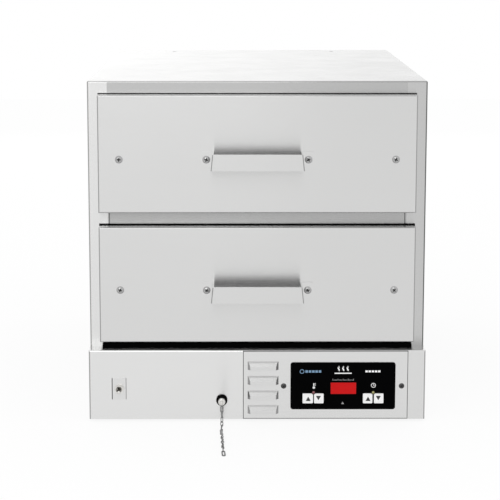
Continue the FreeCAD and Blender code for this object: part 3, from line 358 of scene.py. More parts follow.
def steelFinish(name, level, roughness=0.2, run=(5.0, 5.0, 1100.0), anisotropy=0.9, grainDepth=1.0,
                bump=0.06, rightFoldShade=0.62, levelFoldShade=0.4, rightShade=1.0, stripShade=1.0, backShade=1.0):
    # Brushed sheet steel: fine lines, hand marks and rubbed edges, with painted shade on the folds and
    # over regions of the sheet
    material, tree, shader = newMaterial(name)

    def shade(share):
        return grey(level * share, steelLook["tint"])

    lines = useGroup(tree, grain, Run=run, Depth=grainDepth)
    hands = useGroup(tree, cloud, Scale=steelLook["handScale"])
    edges = useGroup(tree, wear, Width=steelLook["rubWidth"])
    foldShadeMasks = useGroup(tree, foldShadeGroup)
    regionShade = useGroup(tree, tones)
    sheet = blendColours(tree, lines.outputs["Mask"], shade(steelLook["darkLine"]),
                         shade(steelLook["lightLine"]))
    clouded = blendColours(tree, scaled(tree, hands.outputs["Mask"], steelLook["handShare"]), sheet,
                           shade(steelLook["handTone"]))
    bright = grey(min(level * steelLook["rubTone"], steelLook["rubMost"]), steelLook["tint"])
    rubbed = blendColours(tree, scaled(tree, edges.outputs["Mask"], steelLook["rubShare"]), clouded,
                          bright)
    # Painted shade: folds are darkened, more towards the right, standing in for dark gaps and
    # reflections along the edges
    leftFoldShade = steelLook["leftFoldShade"]
    foldShadeShare = maths(tree, "ADD", scaled(tree, regionShade.outputs["Side"], rightFoldShade - leftFoldShade), leftFoldShade)
    upright = blendColours(tree, scaled(tree, foldShadeMasks.outputs["Upright"], foldShadeShare), rubbed,
                           shade(steelLook["uprightShadeTone"]))
    bent = blendColours(tree, scaled(tree, foldShadeMasks.outputs["Level"], levelFoldShade), upright,
                        shade(steelLook["levelShadeTone"]))
    # Painted shade for each region: darker towards the right, on the strips between the posts, and on
    # faces turned back
    sideShaded = blendColours(tree, regionShade.outputs["Side"], grey(1.0), grey(rightShade))
    stripShaded = blendColours(tree, regionShade.outputs["Strip"], sideShaded, grey(stripShade))
    regionShaded = blendColours(tree, regionShade.outputs["Back"], stripShaded, grey(backShade))
    blend = addNode(tree, "ShaderNodeMix", data_type="RGBA", blend_type="MULTIPLY")
    blend.inputs[0].default_value = 1.0
    tree.links.new(bent, blend.inputs[6])
    tree.links.new(regionShaded, blend.inputs[7])
    tree.links.new(blend.outputs[2], shader.inputs["Base Color"])
    shader.inputs["Metallic"].default_value = 1.0
    rough = maths(tree, "ADD", scaled(tree, lines.outputs["Fine"], steelLook["lineGloss"]),
                  roughness - steelLook["lineGloss"] / 2)
    smudged = maths(tree, "ADD", rough, scaled(tree, hands.outputs["Mask"], steelLook["handGloss"]))
    tree.links.new(smudged, shader.inputs["Roughness"])
    shader.inputs["Anisotropic"].default_value = anisotropy
    tree.links.new(acrossTangent(tree), shader.inputs["Tangent"])
    addRelief(tree, shader, lines.outputs["Fine"], bump, steelLook["reliefDepth"])
    return material


def plainFinish(name, colour, roughness=0.5, metallic=0.0, specks=120.0, vary=0.08, bump=0.08, coat=0.0,
                edge=0.25, specular=0.5):
    # A moulded, cast, rubber or plated surface: colour and gloss that change slowly, with fine relief
    material, tree, shader = newMaterial(name)
    hands = useGroup(tree, cloud, Scale=plainLook["handScale"])
    pits = useGroup(tree, cloud, Scale=specks)
    edges = useGroup(tree, wear, Width=plainLook["rubWidth"])

    def shade(share, lift=0.0):
        return tuple(min(c * share + lift, 1.0) for c in colour) + (1.0,)

    body = blendColours(tree, hands.outputs["Mask"], shade(1.0 - vary), shade(1.0 + vary))
    rubbed = blendColours(tree, scaled(tree, edges.outputs["Mask"], plainLook["rubShare"]), body,
                          shade(1.0 + edge, plainLook["rubLift"]))
    tree.links.new(rubbed, shader.inputs["Base Color"])
    setInputs(shader, Metallic=metallic, Coat_Weight=coat, Specular_IOR_Level=specular)
    rough = maths(tree, "ADD", scaled(tree, pits.outputs["Mask"], plainLook["speckGloss"]),
                  roughness - plainLook["speckGloss"] / 2)
    tree.links.new(rough, shader.inputs["Roughness"])
    addRelief(tree, shader, pits.outputs["Mask"], bump, plainLook["reliefDepth"])
    return material


def lampFinish(name, leftColour, rightColour, middleX):
    # One node holds both lamps, so the colour changes over halfway between them
    material, tree, shader = newMaterial(name)
    place = addNode(tree, "ShaderNodeTexCoord")
    split = addNode(tree, "ShaderNodeSeparateXYZ")
    tree.links.new(place.outputs["Object"], split.inputs[0])
    onRight = maths(tree, "GREATER_THAN", split.outputs[0], middleX)
    hands = useGroup(tree, cloud, Scale=400.0)
    colour = blendColours(tree, onRight, leftColour, rightColour)
    tree.links.new(blendColours(tree, scaled(tree, hands.outputs["Mask"], 0.2), colour, grey(0.5)),
                   shader.inputs["Base Color"])
    setInputs(shader, Roughness=0.18, Coat_Weight=0.6)
    return material


def woolFinish(name):
    # Loose mineral wool: straw-coloured fibres with deep relief
    material, tree, shader = newMaterial(name)
    fibres = useGroup(tree, grain, Run=(160.0, 160.0, 700.0), Depth=1.6)
    straw = blendColours(tree, fibres.outputs["Mask"], (0.62, 0.56, 0.36, 1), (0.92, 0.88, 0.7, 1))
    tree.links.new(straw, shader.inputs["Base Color"])
    setInputs(shader, Roughness=0.95, Sheen_Weight=0.3)
    addRelief(tree, shader, fibres.outputs["Fine"], 0.5, 0.002)
    return material


finish = {
    "frontSheet": steelFinish("frontSheet", 0.66),
    # Case: painted shade, darker to the right, on its right-hand folds and on the top rail strip
    # between the posts
    "caseSheet": steelFinish("caseSheet", 0.72, rightFoldShade=1.0, rightShade=0.76, stripShade=0.68),
    # Mid rail: its low level is painted shade, as it stands recessed between the drawers
    "shadedRailSheet": steelFinish("shadedRailSheet", 0.44, roughness=0.24),
    # Base: painted shade slightly darker to the right, and none on its level folds
    "baseSheet": steelFinish("baseSheet", 0.735, levelFoldShade=0.0, rightShade=0.95),
    "plateSheet": steelFinish("plateSheet", 0.7, grainDepth=2.2),
    # Handle: painted shade on its faces turned back, for the dark band above the grip
    "handleSheet": steelFinish("handleSheet", 0.66, backShade=0.08),
    "innerSheet": steelFinish("innerSheet", 0.6, roughness=0.38, grainDepth=0.6),
    "panSteel": steelFinish("panSteel", 0.68, roughness=0.2, run=(60.0, 60.0, 60.0), anisotropy=0.2,
                            grainDepth=0.8, bump=0.03),
    "tankSteel": steelFinish("tankSteel", 0.6, roughness=0.28, run=(40.0, 40.0, 60.0), anisotropy=0.2),
    "zinc": plainFinish("zinc", (0.6, 0.61, 0.63), 0.42, 1.0, specks=260.0, vary=0.12),
    "screwSteel": plainFinish("screwSteel", (0.4, 0.4, 0.4), 0.14, 1.0, specks=900.0, vary=0.04,
                              bump=0.02),
    # Dark screws, also used for the painted gap shade at the mid rail's ends
    "darkScrewAndGapShade": plainFinish("darkScrewAndGapShade", (0.07, 0.07, 0.07), 0.3, 0.9, specks=900.0, vary=0.1,
                             edge=0.8),
    # Near-black finish for the cut faces of each cross recess: painted shade in the hollow
    "recess": plainFinish("recess", (0.03, 0.03, 0.03), 0.5, 0.5, specks=900.0, vary=0.2, edge=0.2,
                          specular=0.1),
    "nickel": plainFinish("nickel", (0.68, 0.67, 0.65), 0.2, 1.0, specks=700.0, vary=0.06, bump=0.03),
    "chainSteel": plainFinish("chainSteel", (0.2, 0.2, 0.2), 0.3, 1.0, specks=900.0, vary=0.3,
                              bump=0.1),
    "brass": plainFinish("brass", (0.72, 0.52, 0.28), 0.32, 1.0, specks=300.0, vary=0.15),
    "sheath": plainFinish("sheath", (0.2, 0.19, 0.18), 0.5, 0.8, specks=300.0, vary=0.25, bump=0.12),
    "core": plainFinish("core", (0.1, 0.1, 0.115), 0.45, 0.2, specks=200.0, vary=0.2),
    "rubber": plainFinish("rubber", (0.001, 0.001, 0.001), 0.6, 0.0, specks=500.0, bump=0.16, edge=0.2,
                          specular=0.01),
    "silicone": plainFinish("silicone", (0.06, 0.06, 0.062), 0.55, 0.0, specks=320.0, bump=0.1,
                            edge=0.6),
    "nylon": plainFinish("nylon", (0.82, 0.81, 0.76), 0.42, 0.0, specks=260.0, bump=0.05),
    "blackPlastic": plainFinish("blackPlastic", (0.02, 0.02, 0.021), 0.4, 0.0, specks=500.0,
                                edge=0.8),
    "creamPlastic": plainFinish("creamPlastic", (0.72, 0.68, 0.55), 0.45, 0.0, specks=300.0),
    "board": plainFinish("board", (0.02, 0.16, 0.06), 0.35, 0.0, specks=160.0, vary=0.3, coat=0.4),
    "overlay": plainFinish("overlay", (0.001, 0.001, 0.0012), 0.3, 0.0, specks=700.0, vary=0.2,
                           bump=0.02, edge=1.5, specular=0.01),
    "ink": plainFinish("ink", (0.88, 0.88, 0.88), 0.4, 0.0, specks=900.0, vary=0.03, bump=0.02,
                       edge=0.0),
    "keyWhite": plainFinish("keyWhite", (0.86, 0.86, 0.86), 0.3, 0.0, specks=400.0, vary=0.02,
                            bump=0.03, coat=0.3, edge=0.05),
    # Black print on the keys, also the painted shade line at the legend plate's left edge
    "blackInkAndEdgeShade": plainFinish("blackInkAndEdgeShade", (0.015, 0.015, 0.015), 0.4, 0.0, specks=600.0, edge=0.2),
    "windowRed": plainFinish("windowRed", (0.55, 0.006, 0.007), 0.3, 0.0, specks=300.0, vary=0.1,
                             bump=0.02, edge=0.2, specular=0.1),
    "lamps": lampFinish("lamps", (0.2, 0.03, 0.04, 1), (0.3, 0.28, 0.07, 1), 0.13),
    "wool": woolFinish("wool"),
    # Near-black finish for the band painted as seam shade round the control plate
    "seamShade": plainFinish("seamShade", (0.02, 0.02, 0.02), 0.9, 0.0, specks=900.0, vary=0.3, bump=0.3,
                        specular=0.1),
    "blueInk": plainFinish("blueInk", (0.16, 0.28, 0.42), 0.4, 0.0, specks=900.0, vary=0.05, bump=0.02,
                           edge=0.0),
    # Grey print, also the painted shade line at the legend plate's right edge
    "greyInkAndEdgeShade": plainFinish("greyInkAndEdgeShade", (0.3, 0.3, 0.3), 0.4, 0.0, specks=900.0, vary=0.05, bump=0.02,
                           edge=0.0),
}

finishOf = {  # the start of a node's name, and its finish
    "outer_wrap": "caseSheet", "mid_rail": "shadedRailSheet", "sill_seal": "rubber",
    "cavity_liner": "innerSheet", "insulation_jacket": "wool", "rear_panel": "caseSheet",
    "base_tray": "baseSheet", "base_fascia": "baseSheet",
    "evaporator_tank": "tankSteel", "evaporator_heater": "sheath",
    "air_heater": "sheath", "temperature_probe": "tankSteel", "drain_pipe": "brass",
    "control_plate": "plateSheet", "control_overlay": "overlay", "display_window": "windowRed",
    "indicator_leds": "lamps", "control_board": "board", "transformer": "core",
    "terminal_block": "creamPlastic", "switch_plate": "plateSheet", "toggle_switch": "nickel",
    "toggle_lever": "nickel", "power_inlet": "blackPlastic", "feet": "rubber",
    "casing_screws": "screwSteel",
    "drain_stopper": "rubber", "stopper_cap": "nickel", "drain_chain": "chainSteel",
    "chain_ring": "chainSteel",
    "front_panel": "frontSheet", "front_backer": "innerSheet", "gasket": "silicone",
    "handle": "handleSheet", "front_screws": "screwSteel", "pan_carrier": "innerSheet",
    "food_pan": "panSteel", "slide_channel": "zinc", "front_roller": "nylon", "back_roller": "nylon",
    "key": "keyWhite",
}


def finishFor(node):
    stem = node
    while stem not in finishOf:
        stem = stem.rsplit("_", 1)[0]
    return finish[finishOf[stem]]


for nodeName, nodeObject in nodes.items():
    for materialSlot in nodeObject.material_slots:
        materialSlot.material = finishFor(nodeName)
print("finishes:", len(finish))


# ---- screws with a cross recess

frontScrews = {
    # x, y, then the turn of the cross in degrees: at first, by side and by drawer
    "places": [(0.206, -0.3165, (12, 31, 17)), (0.076, -0.318, (40, -23, 9))],
    "heights": {"lower": 0.2015, "upper": 0.3997},
    "radius": 0.0058, "height": 0.0028,
}
casingScrews = {
    "topX": 0.146, "topY": 0.3165, "topZ": 0.5133, "topRadius": 0.0033, "topHeight": 0.0012,
    "topTurn": 20,
    "plate": [(0.040, 51.0), (0.2182, 122.28)],  # x and the turn of the cross
    "plateY": -0.3292, "plateZ": 0.056, "plateRadius": 0.0042, "plateHeight": 0.002,
    "backX": 0.2438, "backY": 0.3535, "backZ": (0.0142, 0.12, 0.2594, 0.5046),
    "hexRadius": 0.0042, "hexHeight": 0.002, "hexRounding": 0.0003,
    "washerFoot": 1.5, "washerTop": 1.4, "washerSteps": 32,  # radii in shares of the hexagon's
    "washerThick": 0.0006,
}
screwHead = {
    "domeSteps": 7, "sunk": 0.0002,  # how far a head's seat lies below the sheet
    "arm": 0.8, "armWidth": 0.42, "depth": 1.1,  # the cross, in shares of radius and height
    "taper": 0.45,
    "sharpAngle": 40.0,
}


def domeOutline(radius, height):
    # Half the outline of a domed head, from the middle of its seat round to the top of the dome
    sphere = (radius ** 2 + height ** 2) / (2 * height)
    reach = math.asin(min(radius / sphere, 1.0))
    steps = screwHead["domeSteps"]
    turns = [reach * i / steps for i in range(steps, -1, -1)]
    arc = [(sphere * math.sin(turn), sphere * math.cos(turn) + height - sphere) for turn in turns]
    return [(0.0, -screwHead["sunk"]), (radius, -screwHead["sunk"])] + arc


def addCross(bm, place, arm, width, depth):
    # A tapered cross: a small block whose four sides are drawn out
    before = set(bm.verts)
    made = bmesh.ops.create_cube(bm, size=1.0)["verts"]
    bmesh.ops.scale(bm, vec=(width, width, depth), verts=made)
    sides = [f for f in facesOf(made) if abs(f.normal.z) < 0.5]
    for side in sides:
        out = side.normal.copy()
        tip = bmesh.ops.extrude_discrete_faces(bm, faces=[side])["faces"][0]
        bmesh.ops.translate(bm, vec=out * (arm - width / 2), verts=list(tip.verts))
    fresh = [v for v in bm.verts if v not in before]
    deep = [v for v in fresh if v.co.z < 0]
    bmesh.ops.scale(bm, vec=(screwHead["taper"], screwHead["taper"], 1.0), verts=deep)
    bmesh.ops.recalc_face_normals(bm, faces=facesOf(fresh))
    bmesh.ops.transform(bm, matrix=place, verts=fresh)


def crossedHeads(name, heads, material, body):
    # heads: centre of the seat, direction, radius, height and turn of each
    solid, cutters = bmesh.new(), bmesh.new()
    for centre, along, radius, height, turn in heads:
        place = facing(centre, along)
        lathe(solid, domeOutline(radius, height), place, steps=40)
        top = place @ Matrix.Translation((0, 0, height)) @ Matrix.Rotation(math.radians(turn), 4, "Z")
        addCross(cutters, top, radius * screwHead["arm"], radius * screwHead["armWidth"],
                 height * screwHead["depth"])
    # The cut faces take the near-black recess finish, as painted shade
    for face in cutters.faces:
        face.material_index = 1
    piece = finishMesh(name, solid, material, body, screwHead["sharpAngle"])
    piece.data.materials.append(finish["recess"])
    carve(piece, meshObject("scratch", cutters, [material, finish["recess"]]))
    smoothFaces(piece.data, screwHead["sharpAngle"])
    return piece


for number, (drawer, screwZ) in enumerate(frontScrews["heights"].items()):
    heads = []
    for side in (-1, 1):
        for x, y, (turn, bySide, byDrawer) in frontScrews["places"]:
            heads.append(((side * x, y, screwZ), outFront, frontScrews["radius"],
                          frontScrews["height"], turn + bySide * side + byDrawer * number))
    screws = crossedHeads(f"frontScrews_{drawer}", heads, finish["screwSteel"], f"drawer_{drawer}")
    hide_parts(f"front_screws_{drawer}")

heads = [((side * casingScrews["topX"], casingScrews["topY"], casingScrews["topZ"]), upward,
          casingScrews["topRadius"], casingScrews["topHeight"], casingScrews["topTurn"] * side)
         for side in (-1, 1)]
caseScrews = crossedHeads("casingScrews", heads, finish["screwSteel"], "cabinet")
heads = [((x, casingScrews["plateY"], casingScrews["plateZ"]), outFront, casingScrews["plateRadius"],
          casingScrews["plateHeight"], turn) for x, turn in casingScrews["plate"]]
plateScrews = crossedHeads("plateScrews", heads, finish["darkScrewAndGapShade"], "cabinet")

hexes = bmesh.new()  # one screw with its washer is drawn upright, then copied to each place
hexRadius, hexHeight = casingScrews["hexRadius"], casingScrews["hexHeight"]
washerThick = casingScrews["washerThick"]
bmesh.ops.create_cone(hexes, cap_ends=True, segments=casingScrews["washerSteps"],
                      radius1=hexRadius * casingScrews["washerFoot"],
                      radius2=hexRadius * casingScrews["washerTop"], depth=washerThick,
                      matrix=Matrix.Translation((0, 0, washerThick / 2)))
head = bmesh.ops.create_cone(hexes, cap_ends=True, segments=6, radius1=hexRadius, radius2=hexRadius,
                             depth=hexHeight, matrix=Matrix.Translation((0, 0, hexHeight / 2)))["verts"]
bmesh.ops.bevel(hexes, geom=edgesOf(head), offset=casingScrews["hexRounding"], affect="EDGES",
                segments=2, profile=0.5, material=-1)
pattern = hexes.verts[:] + hexes.edges[:] + hexes.faces[:]
for side in (-1, 1):
    for z in casingScrews["backZ"]:
        place = facing((side * casingScrews["backX"], casingScrews["backY"], z), (0, 1, 0))
        copied = bmesh.ops.duplicate(hexes, geom=pattern)["geom"]
        bmesh.ops.transform(hexes, matrix=place, verts=vertsIn(copied))
bmesh.ops.delete(hexes, geom=pattern, context="VERTS")
hexScrews = finishMesh("backScrews", hexes, finish["zinc"], "cabinet")
for piece in (caseScrews, plateScrews, hexScrews):
    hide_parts("casing_screws")
print("screws made")


# ---- gasket lips that show round the drawer fronts, and painted gap shade at the mid rail's ends

gasketLips = {
    "reach": 0.2381, "front": -0.2988, "back": -0.2970, "width": 0.004, "rounding": 0.0005,
    # foot and top of each front, and how far its lip rises over it
    "drawers": {"lower": (0.1207, 0.2973, 0.0021), "upper": (0.3189, 0.4955, 0.0013)},
}
railGapShade = {
    "x": 0.2225, "width": 0.0011, "face": -0.2965, "thick": 0.00025, "z": (0.2982, 0.3180),
    "rounding": 0.0001,
}

reach, width, rounding = gasketLips["reach"], gasketLips["width"], gasketLips["rounding"]
front, back = gasketLips["front"], gasketLips["back"]
for drawer, (low, high, rise) in gasketLips["drawers"].items():
    lipMesh = bmesh.new()
    addBox(lipMesh, (-reach, front, high - width), (reach, back, high + rise), rounding)
    for side in (-1, 1):
        ends = sorted((side * reach, side * (reach - width)))
        addBox(lipMesh, (ends[0], front, low + width), (ends[1], back, high - width / 2), rounding)
    lip = finishMesh(f"gasketLip_{drawer}", lipMesh, finish["rubber"], f"drawer_{drawer}")

# Painted shade: thin near-black strips where the mid rail meets the side walls
gapShadeMesh = bmesh.new()
half, thick, (low, high) = railGapShade["width"] / 2, railGapShade["thick"], railGapShade["z"]
for side in (-1, 1):
    middle = side * railGapShade["x"]
    addBox(gapShadeMesh, (middle - half, railGapShade["face"] - thick, low),
           (middle + half, railGapShade["face"] + thick, high), railGapShade["rounding"])
gapShadeStrips = finishMesh("railGapShade", gapShadeMesh, finish["darkScrewAndGapShade"], "cabinet")
print("gasket lips made")


# ---- drain bung, its cap and eye

drainBung = {
    "place": (-0.0534, -0.3283, 0.034),
    "outline": [  # radius and height, from the inner end of the stopper to the face of its flange
        (0.0, -0.015), (0.0045, -0.015), (0.0051, -0.0144), (0.0057, 0.0), (0.0082, 0.0),
        (0.0085, 0.0003), (0.0085, 0.0026), (0.0080, 0.0034), (0.0072, 0.0039), (0.0, 0.004),
    ],
    "flangeThick": 0.004,
    "capNeck": [(0.0, 0.0), (0.0050, 0.0), (0.0050, 0.0012), (0.0055, 0.0016)],
    "capRadius": 0.0055, "capLength": 0.009, "capRound": 0.0024, "capSteps": 6,
    "eyeY": -0.3438, "eyeSize": 0.0086, "eyeWire": 0.0018,
}

bungMesh = bmesh.new()
lathe(bungMesh, drainBung["outline"], facing(drainBung["place"], outFront), steps=64)
bung = finishMesh("drainBung", bungMesh, finish["rubber"], "drain_plug")
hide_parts("drain_stopper")

capMesh = bmesh.new()
capPlace = facing(Vector(drainBung["place"]) + outFront * drainBung["flangeThick"], outFront)
capRound, capSteps = drainBung["capRound"], drainBung["capSteps"]
capOutline = list(drainBung["capNeck"])
for i in range(capSteps + 1):
    turn = math.pi / 2 * i / capSteps
    capOutline.append((drainBung["capRadius"] - capRound + capRound * math.cos(turn),
                       drainBung["capLength"] - capRound + capRound * math.sin(turn)))
capOutline.append((0.0, drainBung["capLength"]))
lathe(capMesh, capOutline, capPlace, steps=64)
eyePlace = (Matrix.Translation((drainBung["place"][0], drainBung["eyeY"], drainBung["place"][2]))
            @ Matrix.Rotation(math.pi / 2, 4, "Y"))
addLink(capMesh, drainBung["eyeSize"], drainBung["eyeSize"], drainBung["eyeWire"], eyePlace,
        steps=40, sides=12)
cap = finishMesh("bungCap", capMesh, finish["nickel"], "drain_plug", sharpAngle=50.0)
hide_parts("stopper_cap")
print("drain bung made")


# ---- toggle lever

toggle = {
    "pivot": (-0.2085, -0.325, 0.0517), "tipDown": 13.0,
    "ball": 0.003, "shaft": [(0.0017, 0.00315), (0.0023, 0.0113), (0.0025, 0.0130)],  # radius, height
    "tip": 0.0025, "tipRound": 0.0022, "length": 0.0158,
    "pinRadius": 0.0011, "pinLength": 0.009,
    "ballTurns": range(15, 141, 15), "tipTurns": range(10, 81, 14),  # degrees
}

leverMesh = bmesh.new()
ball, tip, tipRound, length = (toggle[size] for size in ("ball", "tip", "tipRound", "length"))
leverOutline = [(0.0, -ball)]
leverOutline += [(ball * math.sin(turn), -ball * math.cos(turn))
                 for turn in map(math.radians, toggle["ballTurns"])]
leverOutline += toggle["shaft"]
leverOutline += [(tip * math.cos(turn), length - tipRound + tipRound * math.sin(turn))
                 for turn in map(math.radians, toggle["tipTurns"])]
leverOutline.append((0.0, length))
leverTurn = Matrix.Rotation(math.radians(toggle["tipDown"]), 4, "X")
lathe(leverMesh, leverOutline,
      Matrix.Translation(toggle["pivot"]) @ leverTurn @ facing((0, 0, 0), outFront), steps=40)
bmesh.ops.create_cone(leverMesh, cap_ends=True, segments=20, radius1=toggle["pinRadius"],
                      radius2=toggle["pinRadius"], depth=toggle["pinLength"],
                      matrix=Matrix.Translation(toggle["pivot"]) @ Matrix.Rotation(math.pi / 2, 4, "Y"))
lever = finishMesh("toggleLever", leverMesh, finish["nickel"], "toggle_lever", sharpAngle=50.0)
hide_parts("toggle_lever")
print("toggle lever made")


# ---- control panel: foam edge, printed marks and arrows on the keys

controlPanel = {
    "plate": (-0.0204, 0.2268, 0.0058, 0.1095), "plateBack": -0.328,  # left, right, foot, top
    # width, thickness and set-back of the near-black band painted as seam shade round the plate
    "seamShadeWidth": 0.0009, "seamShadeThick": 0.001, "seamShadeSunk": 0.0001,
    "overlayFace": -0.3302, "keyFace": -0.3312, "legendFace": -0.3288, "inkThick": 0.00006,
    "keys": {"key_1": (0.0687, 0.0844, 1), "key_2": (0.0860, 0.1004, -1),  # left, right, up or down
             "key_3": (0.1599, 0.1742, 1), "key_4": (0.1766, 0.1909, -1)},
    "keyZ": (0.0295, 0.0446), "arrow": 0.0076, "arrowShift": (0.0006, -0.0008),
    "arrowFoot": 0.42, "arrowTip": 0.48,
    # painted shade lines at the legend plate's left and right edges
    "edgeShades": {"Left": (-0.2190, "blackInkAndEdgeShade"), "Right": (-0.1980, "greyInkAndEdgeShade")},
    "edgeShadeZ": (0.0352, 0.0682), "edgeShadeWidth": 0.0012,
}
overlayMarks = {  # places in X and Z
    "waves": (0.1230, 0.1297, 0.1364), "waveFoot": 0.0795, "waveSwing": 0.0011, "waveTurn": 1.1,
    "waveRise": 0.0011, "waveSteps": 8, "waveWidth": 0.0015,
    "discs": [(0.0856, 0.0538, 0.0019, 0.0), (0.1756, 0.0572, 0.0036, 0.0028)],  # bulb, clock
    "roundSteps": 28,
    "whiteLines": [  # width and points
        (0.0016, [(0.1168, 0.0760), (0.1426, 0.0760)]),  # the line under the waves
        (0.0015, [(0.0856, 0.0538), (0.0856, 0.0606)]),  # thermometer and its ticks
        (0.0006, [(0.0872, 0.0570), (0.0886, 0.0570)]),
        (0.0006, [(0.0872, 0.0587), (0.0886, 0.0587)]),
        (0.0006, [(0.0872, 0.0604), (0.0886, 0.0604)]),
        (0.0007, [(0.1756, 0.0572), (0.1756, 0.0594)]),  # hands of the clock
        (0.0007, [(0.1756, 0.0572), (0.1772, 0.0565)]),
    ],
    "whiteRow": (0.1632, 0.0048, 0.0036, 0.0789, 0.0030),  # first X, pitch, length, Z and width
    "blueRing": (0.0676, 0.0788, 0.0034, 0.0025),
    "blueRow": (0.0728, 0.0050, 0.0038, 0.0788, 0.0036),
    "rowCount": 5,
    "scale": (0.1142, 0.00195, 0.0646), "scaleCount": 17, "scaleWidth": 0.0007,
    "longTick": 0.0028, "shortTick": 0.0017, "longEvery": 4,
    "peak": [(0.1278, 0.0282), (0.1294, 0.0316), (0.1310, 0.0282)], "peakWidth": 0.0009,
}


def raiseMark(bm, faces, thick):
    # Gives flat faces their thickness, out to the front
    raised = bmesh.ops.extrude_face_region(bm, geom=faces)["geom"]
    bmesh.ops.translate(bm, vec=outFront * thick, verts=vertsIn(raised))
    bmesh.ops.recalc_face_normals(bm, faces=bm.faces[:])


def flatMark(bm, corners, face, thick):
    # A thin raised shape on an upright face, from its outline in X and Z
    outline = bmesh.ops.contextual_create(
        bm, geom=[bm.verts.new((x, face, z)) for x, z in corners])["faces"]
    bm.normal_update()
    raiseMark(bm, outline, thick)


def strokeMark(bm, places, width, face, thick):
    # A line of even width through points in X and Z
    left, right = [], []
    for i, (x, z) in enumerate(places):
        before, after = Vector(places[max(i - 1, 0)]), Vector(places[min(i + 1, len(places) - 1)])
        run = (after - before).normalized()
        left.append((x - run.y * width / 2, z + run.x * width / 2))
        right.append((x + run.y * width / 2, z - run.x * width / 2))
    flatMark(bm, left + right[::-1], face, thick)


def roundMark(bm, x, z, radius, inner, face, thick):
    # A disc, or a ring when it has an inner radius
    place = Matrix.Translation((x, face, z)) @ Matrix.Rotation(math.pi / 2, 4, "X")
    steps = overlayMarks["roundSteps"]
    made = bmesh.ops.create_circle(bm, cap_ends=not inner, segments=steps, radius=radius,
                                   matrix=place)["verts"]
    if inner:
        made += bmesh.ops.create_circle(bm, segments=steps, radius=inner, matrix=place)["verts"]
        bmesh.ops.bridge_loops(bm, edges=edgesOf(made))
    raiseMark(bm, facesOf(made), thick)


def rowOfMarks(bm, row, face, thick):
    first, pitch, length, z, width = row
    for i in range(overlayMarks["rowCount"]):
        x = first + pitch * i
        strokeMark(bm, [(x, z), (x + length, z)], width, face, thick)


# a near-black band round the control plate: painted shade of the seam at its edges
left, right, low, high = controlPanel["plate"]
seamShade = controlPanel["seamShadeWidth"]
seamShadeMesh = bmesh.new()
for x0, x1, z0, z1 in ((left, right, high, high + seamShade), (left, right, low - seamShade, low),
                       (left - seamShade, left, low - seamShade, high + seamShade),
                       (right, right + seamShade, low - seamShade, high + seamShade)):
    addBox(seamShadeMesh, (x0, controlPanel["plateBack"] - controlPanel["seamShadeThick"], z0),
           (x1, controlPanel["plateBack"] + controlPanel["seamShadeSunk"], z1))
seamShadePiece = finishMesh("plateSeamShade", seamShadeMesh, finish["seamShade"], "cabinet")

# arrows on the keys
ink = controlPanel["inkThick"]
size, (shiftX, shiftZ), keyZ = controlPanel["arrow"], controlPanel["arrowShift"], controlPanel["keyZ"]
for key, (keyLeft, keyRight, way) in controlPanel["keys"].items():
    middleX = (keyLeft + keyRight) / 2 + shiftX * way
    middleZ = (keyZ[0] + keyZ[1]) / 2 + shiftZ * way
    foot, point = (middleZ + way * size * share
                   for share in (-controlPanel["arrowFoot"], controlPanel["arrowTip"]))
    arrowMesh = bmesh.new()
    flatMark(arrowMesh, [(middleX - size / 2, foot), (middleX + size / 2, foot), (middleX, point)],
             controlPanel["keyFace"], ink)
    arrow = finishMesh(f"arrow_{key}", arrowMesh, finish["blackInkAndEdgeShade"], key)

# dark lines down the sides of the toggle's legend plate: painted shade of its edge gaps, darker on the
# left
for label, (x, colour) in controlPanel["edgeShades"].items():
    edgeShadeMesh = bmesh.new()
    strokeMark(edgeShadeMesh, [(x, z) for z in controlPanel["edgeShadeZ"]], controlPanel["edgeShadeWidth"],
               controlPanel["legendFace"], ink)
    edgeShadePiece = finishMesh(f"legendEdgeShade{label}", edgeShadeMesh, finish[colour], "cabinet")

# marks printed on the overlay: waves of heat, a thermometer, a clock, rows of bars and a scale
face = controlPanel["overlayFace"]
white = bmesh.new()
for x in overlayMarks["waves"]:
    wave = [(x + overlayMarks["waveSwing"] * math.sin(t * overlayMarks["waveTurn"]),
             overlayMarks["waveFoot"] + overlayMarks["waveRise"] * t)
            for t in range(overlayMarks["waveSteps"])]
    strokeMark(white, wave, overlayMarks["waveWidth"], face, ink)
for x, z, radius, inner in overlayMarks["discs"]:
    roundMark(white, x, z, radius, inner, face, ink)
for width, places in overlayMarks["whiteLines"]:
    strokeMark(white, places, width, face, ink)
rowOfMarks(white, overlayMarks["whiteRow"], face, ink)
whiteMarks = finishMesh("overlayMarks", white, finish["ink"], "cabinet")

blue = bmesh.new()
roundMark(blue, *overlayMarks["blueRing"], face, ink)
rowOfMarks(blue, overlayMarks["blueRow"], face, ink)
blueMarks = finishMesh("overlayBlueMarks", blue, finish["blueInk"], "cabinet")

pale = bmesh.new()
first, pitch, foot = overlayMarks["scale"]
for i in range(overlayMarks["scaleCount"]):
    tall = overlayMarks["shortTick" if i % overlayMarks["longEvery"] else "longTick"]
    x = first + pitch * i
    strokeMark(pale, [(x, foot), (x, foot + tall)], overlayMarks["scaleWidth"], face, ink)
strokeMark(pale, overlayMarks["peak"], overlayMarks["peakWidth"], face, ink)
greyMarks = finishMesh("overlayGreyMarks", pale, finish["greyInkAndEdgeShade"], "cabinet")

print("control panel marked")


# ---- drain chain: twisted links along its line, with an oval end link

